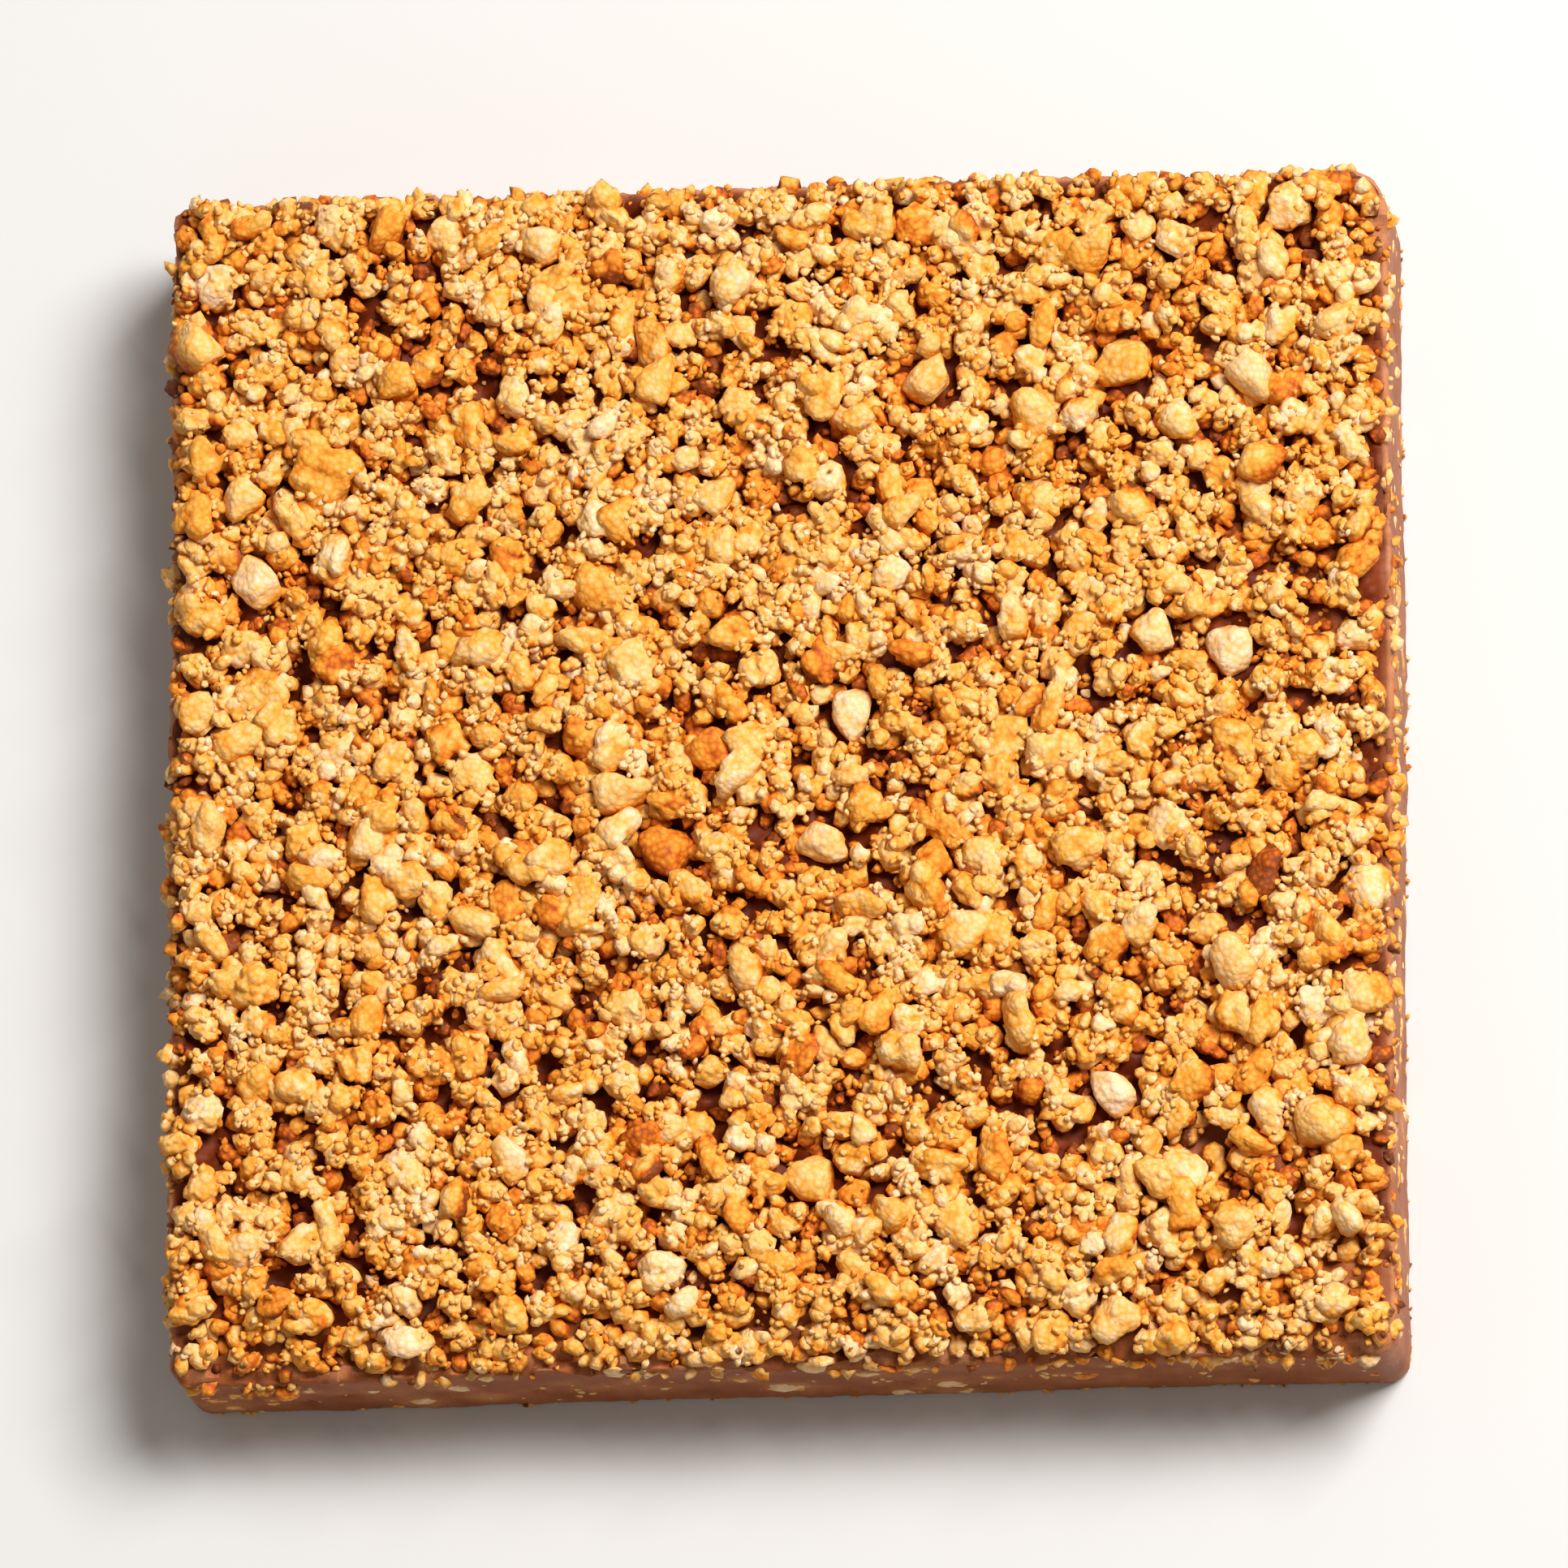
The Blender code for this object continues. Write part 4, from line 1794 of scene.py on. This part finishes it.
    def clearance(self, x: float, y: float, length: float, placed: list[tuple[float, ...]]) -> float:
        """Give the gap from a crumb to its nearest neighbour.

        Args:
            x: its place along X.
            y: its place along Y.
            length: of the crumb.
            placed: the crumbs that lie there.

        Returns:
            The gap, or the least of all where the chocolate is bare.
        """
        hollow = self.slab.hollowness(np.float64(x), np.float64(y))
        if y < self.slab.near_band - self.slab.depth / 2 or hollow > self.most_bare:
            return -self.slab.depth
        return min(math.hypot(x - other[0], y - other[1]) - (length + other[2]) / 2 for other in placed)

    def places(self) -> list[tuple[float, ...]]:
        """List the CAD's crumbs.

        Returns:
            The x, y, length, breadth and height of each.
        """
        placed = [
            (x * MM, y * MM, length * MM, length * breadth * MM, length * height * MM)
            for (x, y), length, breadth, height, *_ in self.landmarks
        ]
        draw = random.Random(self.crumb_seed)
        for number in range(self.drawn_count):
            share = ((number + 0.5) / self.drawn_count) ** (1.0 / self.size_fall)
            length = self.largest_drawn + (self.smallest_drawn - self.largest_drawn) * share
            breadth = length * draw.uniform(*self.breadths)
            height = length * draw.uniform(*self.heights)
            reach_x = (self.slab.width - length) / 2
            reach_y = (self.slab.depth - length) / 2
            tries = [
                (draw.uniform(-reach_x, reach_x), draw.uniform(-reach_y, reach_y)) for _ in range(self.tries)
            ]
            x, y = max(tries, key=lambda place: self.clearance(*place, length, placed))
            placed.append((x, y, length, breadth, height))
        return placed

    def coat(self, x: float, y: float, draw: np.random.Generator) -> float:
        """Draw how much chocolate smears a crumb: more near the sides and the bare places."""
        smear = self.smeared[0] + self.smeared[1] * float(self.surface.smear[self.surface.number(x, y)])
        return float(np.clip(draw.normal(smear, self.smear_spread), 0.0, self.most_smeared))

    def roast(self, middle: np.ndarray, odd: float, draw: np.random.Generator) -> float:
        """Draw how far a crumb is roasted: mostly like those round it, and painted darker down in the gaps
        and the pits as painted shade.

        Args:
            middle: the crumb's place.
            odd: share of the crumbs that differ from those round them.
            draw: source of the random numbers.

        Returns:
            The place on the scale.
        """
        if draw.random() < odd:
            return Roast.pick(draw).draw(draw)
        cell = self.surface.number(middle[0], middle[1])
        # Painted shade: crumbs low in the gaps and in the pits are painted as if more deeply roasted
        sunk = float(smooth_step((self.surface.bed[cell] + self.gap_top - middle[2]) / self.gap_depth))
        painted_depth_shade = self.gap_painted_shade * sunk + self.pit_painted_shade * self.surface.pits[cell]
        return float(self.surface.tone[cell] + painted_depth_shade + draw.normal(0.0, self.roast_spread))

    def large(self, material: bpy.types.Material) -> None:
        """Make the crumbs that the CAD has, each in its place.

        Args:
            material: of the crumbs.
        """
        draw = np.random.default_rng(self.loose_seed)
        turns = random.Random(self.crumb_seed + 1)
        chips = [self.chip(number) for number in range(self.shapes)]
        chunks = Heap("nut_chunks")
        clusters = Heap("nut_clusters")
        for number, (x, y, length, breadth, height) in enumerate(self.places()):
            spin = turns.uniform(0.0, math.tau)
            tip = turns.uniform(-self.tip, self.tip)
            frame = turned(spin, tip) * np.array([length, breadth, height])
            bed = float(self.slab.bed_top(np.float64(x), np.float64(y)))
            middle = np.array([x, y, bed + self.lift * height])
            if number < len(self.landmarks):
                kind, clustered = self.landmarks[number][4:]
                roast = kind.draw(draw)
            else:
                roast = min(self.roast(middle, self.odd, draw), self.deepest)
                clustered = draw.random() < self.clustered
            if number < len(self.landmarks):
                frame = frame * self.landmark_growth[not clustered]
            chip = chips[number % self.shapes]
            if clustered:
                clump = Clump(chip, CLUSTER_BUMPS, self.loose_seed + number)
                form = formed(clump, self.cluster_points, self.cluster_low)
                clusters.add(form, frame, middle, roast, self.coat(x, y, draw))
            else:
                form = formed(chip, self.chunk_points, self.chunk_low)
                chunks.add(form, frame, middle, roast, self.coat(x, y, draw))
            self.surface.heap(middle, (length + breadth) / 4, SHOULDER * height)
            if number < len(self.landmarks) and not clustered:
                self.surface.uncover(x, y, self.landmark_growth[1] * (length + breadth) / 4)
        chunks.piece(material)
        clusters.piece(material)

    def forms(self, size: CrumbSize, draw: np.random.Generator) -> list[Form]:
        """Draw the forms of one size of crumb.

        Args:
            size: of the crumbs.
            draw: source of the random numbers.

        Returns:
            The forms.
        """
        made = []
        fewest, most = self.breaks
        for number in range(size.forms):
            kind = Chip.drawn(draw, int(draw.integers(fewest, most + 1)), number)
            if number < size.clumped * size.forms:
                kind = Clump(kind, size.bumps, number)
            made.append(formed(kind, size.points, size.underside_shade))
        return made

    def loose(self, size: CrumbSize, material: bpy.types.Material) -> None:
        """Drop one size of loose crumb on the bed.

        Args:
            size: of the crumbs.
            material: of the crumbs.
        """
        draw = np.random.default_rng(self.loose_seed + size.count)
        heap = Heap(size.name)
        forms = self.forms(size, draw)
        for _ in range(size.count):
            length = size.largest + (size.smallest - size.largest) * draw.random() ** (1.0 / size.fall)
            sides = uneven(length, draw)
            reach = (sides[0] + sides[1]) / 4
            seats = []
            for _ in range(size.tries):
                x = draw.uniform(-0.5, 0.5) * (self.slab.width - (1.0 - self.spill) * length)
                y = draw.uniform(-0.5, 0.5) * (self.slab.depth - (1.0 - self.spill) * length)
                cell = self.surface.number(x, y)
                seat = self.surface.seat(x, y, reach)
                pit = float(np.max(self.surface.pits[self.surface.window(x, y, self.pit_reach * reach)]))
                open_share = size.shyness * max(self.surface.bareness[cell], pit)
                over_bed = seat - self.surface.bed[cell]
                under = over_bed < -self.under * sides[2]
                clear = under or self.surface.room[cell] > self.margin * reach
                if over_bed < size.headroom and clear and draw.random() > open_share:
                    seats.append((seat, x, y))
            if not seats:
                continue
            seat, x, y = min(seats)
            middle = np.array([x, y, seat + size.lift * sides[2]])
            frame = turned(draw.uniform(0, math.tau), draw.normal(0.0, self.tilt)) * sides
            form = forms[int(draw.integers(len(forms)))]
            heap.add(form, frame, middle, self.roast(middle, size.odd, draw), self.coat(x, y, draw))
            self.surface.heap(middle, reach, SHOULDER * sides[2])
        heap.piece(material)


@dataclass
class SideNuts:
    """The nuts that the knife has cut through, and the crumbs that cling to the sides.

    Attributes:
        slab: the square's form.
        breaks: how many breaks each form has.
        cut: how many cut nuts show on a side.
        cut_forms: how many different forms they have, and the points of each.
        cut_sizes: length of the smallest and the largest.
        cut_fall: the higher, the more small ones there are.
        cut_along: how far along a side they lie, as shares of it.
        cut_breadths: least and most breadth, as shares of the length.
        cut_depth: their depth in the chocolate, as a share of the length.
        cut_sunk: how far their middles lie in it, as a share of the depth.
        cut_gaps: what stays free of them at the foot and under the rim.
        cut_pale: share of them that is pale.
        cut_smeared: share of them that the knife has smeared, and how much.
        proud: how far they stand out of the chocolate.
        clinging: how many crumbs at most cling to the top of a side.
        clinging_forms: how many different forms they have, and the points of each.
        clinging_sizes: length of the smallest and the largest.
        clinging_fall: the higher, the more small ones there are.
        clinging_along: how far along a side they lie, as shares of it.
        clinging_out: least and most distance outward, as shares of the length.
        clinging_smear: how much chocolate smears them, and how much that differs.
        most_smeared: how much it smears one at most.
        drop: least and most depth that they reach down from the rim.
        drop_length: distance over which it changes.
        drop_contrast: how sharply it changes.
        drop_fall: the higher, the more of them stay near the rim.
        near_drop: share of the depth that they reach on the near side.
        sparse: share of them that stays where they hardly drop.
        rim: how far in from the side its height is read, and how far under the bed it lies.
        foot: how many chocolate crumbs stick out at a side's foot.
        foot_sizes: length of the smallest and the largest.
        foot_heights: lowest and highest place of their middles, as shares of the length.
        seed: number that they are drawn with.
    """

    slab: Slab
    breaks: int = 7
    cut: int = 95
    cut_forms: tuple[int, int] = (14, 46)
    cut_sizes: tuple[float, float] = (0.35 * MM, 2.7 * MM)
    cut_fall: float = 3.2
    cut_along: tuple[float, float] = (-0.48, 0.48)
    cut_breadths: tuple[float, float] = (0.55, 1.0)
    cut_depth: float = 0.35
    cut_sunk: float = 0.42
    cut_gaps: tuple[float, float] = (0.1 * MM, 0.4 * MM)
    cut_pale: float = 0.7
    cut_smeared: tuple[float, float] = (0.3, 0.36)
    proud: float = 0.04 * MM
    clinging: int = 210
    clinging_forms: tuple[int, int] = (16, 20)
    clinging_sizes: tuple[float, float] = (0.35 * MM, 1.5 * MM)
    clinging_fall: float = 1.6
    clinging_along: tuple[float, float] = (-0.49, 0.49)
    clinging_out: tuple[float, float] = (-0.28, 0.10)
    clinging_smear: tuple[float, float] = (0.28, 0.16)
    most_smeared: float = 0.9
    drop: tuple[float, float] = (0.3 * MM, 3.0 * MM)
    drop_length: float = 9.0 * MM
    drop_contrast: float = 1.6
    drop_fall: float = 1.5
    near_drop: float = 0.35
    sparse: float = 0.2
    rim: tuple[float, float] = (0.3 * MM, 0.4 * MM)
    foot: int = 36
    foot_sizes: tuple[float, float] = (0.20 * MM, 0.45 * MM)
    foot_heights: tuple[float, float] = (0.5, 0.7)
    seed: int = 77

    def forms(self, draw: np.random.Generator, count: int, points: int) -> list[Form]:
        """Draw ragged forms with this many points each."""
        chips = [Chip.drawn(draw, self.breaks, number) for number in range(count)]
        return [formed(Clump(chip, SIDE_BUMPS, number), points, 0.0) for number, chip in enumerate(chips)]

    def build_cut(self, material: bpy.types.Material) -> np.ndarray:
        """Make the cut nuts of all four sides.

        Args:
            material: of the nuts.

        Returns:
            The middle and the length of each.
        """
        nuts = []
        draw = np.random.default_rng(self.seed)
        forms = self.forms(draw, *self.cut_forms)
        heap = Heap("cut_nuts")
        smallest, largest = self.cut_sizes
        foot_gap, rim_gap = self.cut_gaps
        share, smear = self.cut_smeared
        for side in range(SIDES):
            for _ in range(self.cut):
                length = smallest + (largest - smallest) * draw.random() ** self.cut_fall
                place, out, along = self.slab.side(side, draw.uniform(*self.cut_along))
                depth = self.cut_depth * length
                middle = place + out * (self.proud - self.cut_sunk * depth)
                middle[2] = draw.uniform(foot_gap + 0.5 * length, self.slab.chocolate_height - rim_gap)
                lean = draw.uniform(0.0, math.pi)
                up = math.cos(lean) * np.array([0.0, 0.0, 1.0]) + math.sin(lean) * along
                sides = np.array([length * draw.uniform(*self.cut_breadths), length, depth])
                frame = np.column_stack([np.cross(up, out), up, out]) * sides
                roast = Roast.PALE if draw.random() < self.cut_pale else Roast.GOLDEN
                coat = float(draw.choice([0.0, smear], p=[1.0 - share, share]))
                heap.add(forms[int(draw.integers(len(forms)))], frame, middle, roast.draw(draw), coat)
                nuts.append((*middle, length))
        heap.piece(material)
        return np.array(nuts)

    def build_clinging(self, material: bpy.types.Material) -> None:
        """Make the crumbs that cling to the sides under the rim and at the foot.

        Args:
            material: of the crumbs.
        """
        draw = np.random.default_rng(self.seed + 1)
        forms = self.forms(draw, *self.clinging_forms)
        heap = Heap("side_crumbs")
        for side in range(SIDES):
            for number in range(self.clinging + self.foot):
                place, out, _ = self.slab.side(side, draw.uniform(*self.clinging_along))
                at_foot = number >= self.clinging
                smallest, largest = self.foot_sizes if at_foot else self.clinging_sizes
                length = smallest + (largest - smallest) * draw.random() ** self.clinging_fall
                if at_foot:
                    height = draw.uniform(*self.foot_heights) * length
                else:
                    patch = self.patch(place)
                    drop = patch * self.near_drop if side == NEAR_SIDE else patch
                    height = self.height(place, out, drop, draw)
                    if draw.random() > self.sparse + (1.0 - self.sparse) * patch:
                        continue
                middle = place + out * draw.uniform(*self.clinging_out) * length
                middle[2] = height
                frame = turned(draw.uniform(0, math.tau), draw.uniform(0, math.pi)) * uneven(length, draw)
                roast = Roast.pick(draw).draw(draw)
                coat = float(np.clip(draw.normal(*self.clinging_smear), 0.0, self.most_smeared))
                heap.add(forms[int(draw.integers(len(forms)))], frame, middle, roast, coat)
        heap.piece(material)

    def patch(self, place: np.ndarray) -> float:
        """Say how far the crumbs drop round a place, from 0 to 1."""
        return float(smooth_step(0.5 + self.drop_contrast * soft_noise(*place / self.drop_length)))

    def height(self, place: np.ndarray, out: np.ndarray, drop: float, draw: np.random.Generator) -> float:
        """Draw how high a crumb clings.

        Args:
            place: at the foot of the side.
            out: the way out.
            drop: how far the crumbs drop there, from 0 to 1.
            draw: source of the random numbers.

        Returns:
            The height.
        """
        inward, under_bed = self.rim
        inner = place - out * inward
        rim = float(self.slab.bed_top(inner[0], inner[1])) - under_bed
        least, most = self.drop
        return rim - draw.random() ** self.drop_fall * (least + (most - least) * drop)


@dataclass(frozen=True)
class Studio:
    """The surface, the lights and the camera.

    Attributes:
        floor_side: side of the pale surface.
        turn: how far the camera stands to the right of the near side's middle.
        tilt: how far it leans from straight overhead towards the near side.
        distance: from the camera to the square.
        lens: focal length in millimetres.
        aim: the point that it looks at.
        sensor: width of its sensor in millimetres.
        clip: nearest and farthest distance that it sees.
        key_from: the way to the key light.
        key_distance: how far off it hangs.
        key_size: side of the light.
        key_power: in watts.
        key_colour: of its light.
        sky: strength of the light from all round.
        sky_colour: of that light.
    """

    floor_side: float = 3.0
    turn: float = math.radians(7.0)
    tilt: float = math.radians(13.0)
    distance: float = 1.0
    lens: float = 440.0
    aim: tuple[float, float, float] = (0.0, 0.0, 6.0 * MM)
    sensor: float = 36.0
    clip: tuple[float, float] = (0.05, 20.0)
    key_from: tuple[float, float, float] = (0.50, 0.34, 0.90)
    key_distance: float = 0.8
    key_size: float = 0.36
    key_power: float = 10.1
    key_colour: tuple[float, float, float] = (1.0, 0.98, 0.95)
    sky: float = 0.32
    sky_colour: tuple[float, float, float] = (1.0, 0.94, 0.84)

    def floor(self) -> None:
        """Lay the pale surface."""
        bpy.ops.mesh.primitive_plane_add(size=self.floor_side)
        made = bpy.context.object
        made.name = "floor"
        made.data.materials.append(PaleTable().material())

    def light(self) -> None:
        """Hang the soft key light and set the sky."""
        lamp = bpy.data.lights.new("key", "AREA")
        lamp.size = self.key_size
        lamp.energy = self.key_power
        lamp.color = self.key_colour
        made = bpy.data.objects.new("key", lamp)
        way = Vector(self.key_from).normalized()
        made.location = way * self.key_distance
        made.rotation_euler = way.to_track_quat("Z", "Y").to_euler()
        bpy.context.scene.collection.objects.link(made)
        world = bpy.data.worlds.new("sky")
        world.use_nodes = True
        glow = world.node_tree.nodes["Background"]
        glow.inputs["Color"].default_value = (*self.sky_colour, 1.0)
        glow.inputs["Strength"].default_value = self.sky
        bpy.context.scene.world = world
        bpy.context.scene.view_settings.view_transform = "Standard"

    def camera(self) -> None:
        """Place the camera at the angle at which the face is seen."""
        lens = bpy.data.cameras.new("camera")
        lens.lens = self.lens
        lens.sensor_width = self.sensor
        lens.clip_start, lens.clip_end = self.clip
        made = bpy.data.objects.new("camera", lens)
        way = Vector((math.sin(self.turn), -math.sin(self.tilt), 0.0))
        way.z = math.sqrt(1.0 - way.length_squared)
        right = Vector((0.0, 1.0, 0.0)).cross(way).normalized()
        facing = Matrix((right, way.cross(right), way)).transposed()
        made.matrix_world = Matrix.Translation(Vector(self.aim) + way * self.distance) @ facing.to_4x4()
        bpy.context.scene.collection.objects.link(made)
        bpy.context.scene.camera = made


def main() -> None:
    """Build the square's looks, the studio and the camera."""
    logging.basicConfig(level=logging.INFO, format="%(name)s: %(message)s")
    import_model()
    slab = Slab()
    nut = RoastedNut("roasted_nut").material()
    side_nuts = SideNuts(slab)
    cut_nuts = side_nuts.build_cut(nut)
    chocolate = ChocolateBody(slab)
    chocolate.build(MilkChocolate("milk_chocolate").material(), cut_nuts)
    surface = Surface(slab)
    surface.lay(chocolate.top)
    bed = CrumbBed(slab, surface)
    bed.large(nut)
    sizes = (
        CrumbSize(
            "nut_underlayer", count=3000, largest=2.0 * MM, smallest=1.1 * MM, fall=1.3, points=16,
            clumped=0.0, underside_shade=0.34, headroom=0.25 * MM, shyness=0.40, odd=0.1,
        ),
        CrumbSize(
            "nut_pieces", count=1350, largest=3.0 * MM, smallest=1.4 * MM, fall=1.25, points=108,
            clumped=0.88, underside_shade=0.45, headroom=0.62 * MM, shyness=0.98, odd=0.25, tries=3,
        ),
        CrumbSize(
            "nut_crumbs", count=5600, largest=1.50 * MM, smallest=0.65 * MM, fall=1.2, points=22,
            clumped=0.75, underside_shade=0.40, headroom=0.85 * MM, shyness=0.88, odd=0.15, tries=3, lift=0.0,
        ),
        CrumbSize(
            "nut_grit", count=11800, largest=0.72 * MM, smallest=0.32 * MM, fall=1.2, points=12,
            clumped=0.0, underside_shade=0.22, headroom=1.15 * MM, shyness=0.62, odd=0.12, tries=1, lift=0.0,
        ),
    )
    for size in sizes:
        bed.loose(size, nut)
    side_nuts.build_clinging(nut)
    studio = Studio()
    studio.floor()
    studio.light()
    studio.camera()


if __name__ == "__main__":
    main()
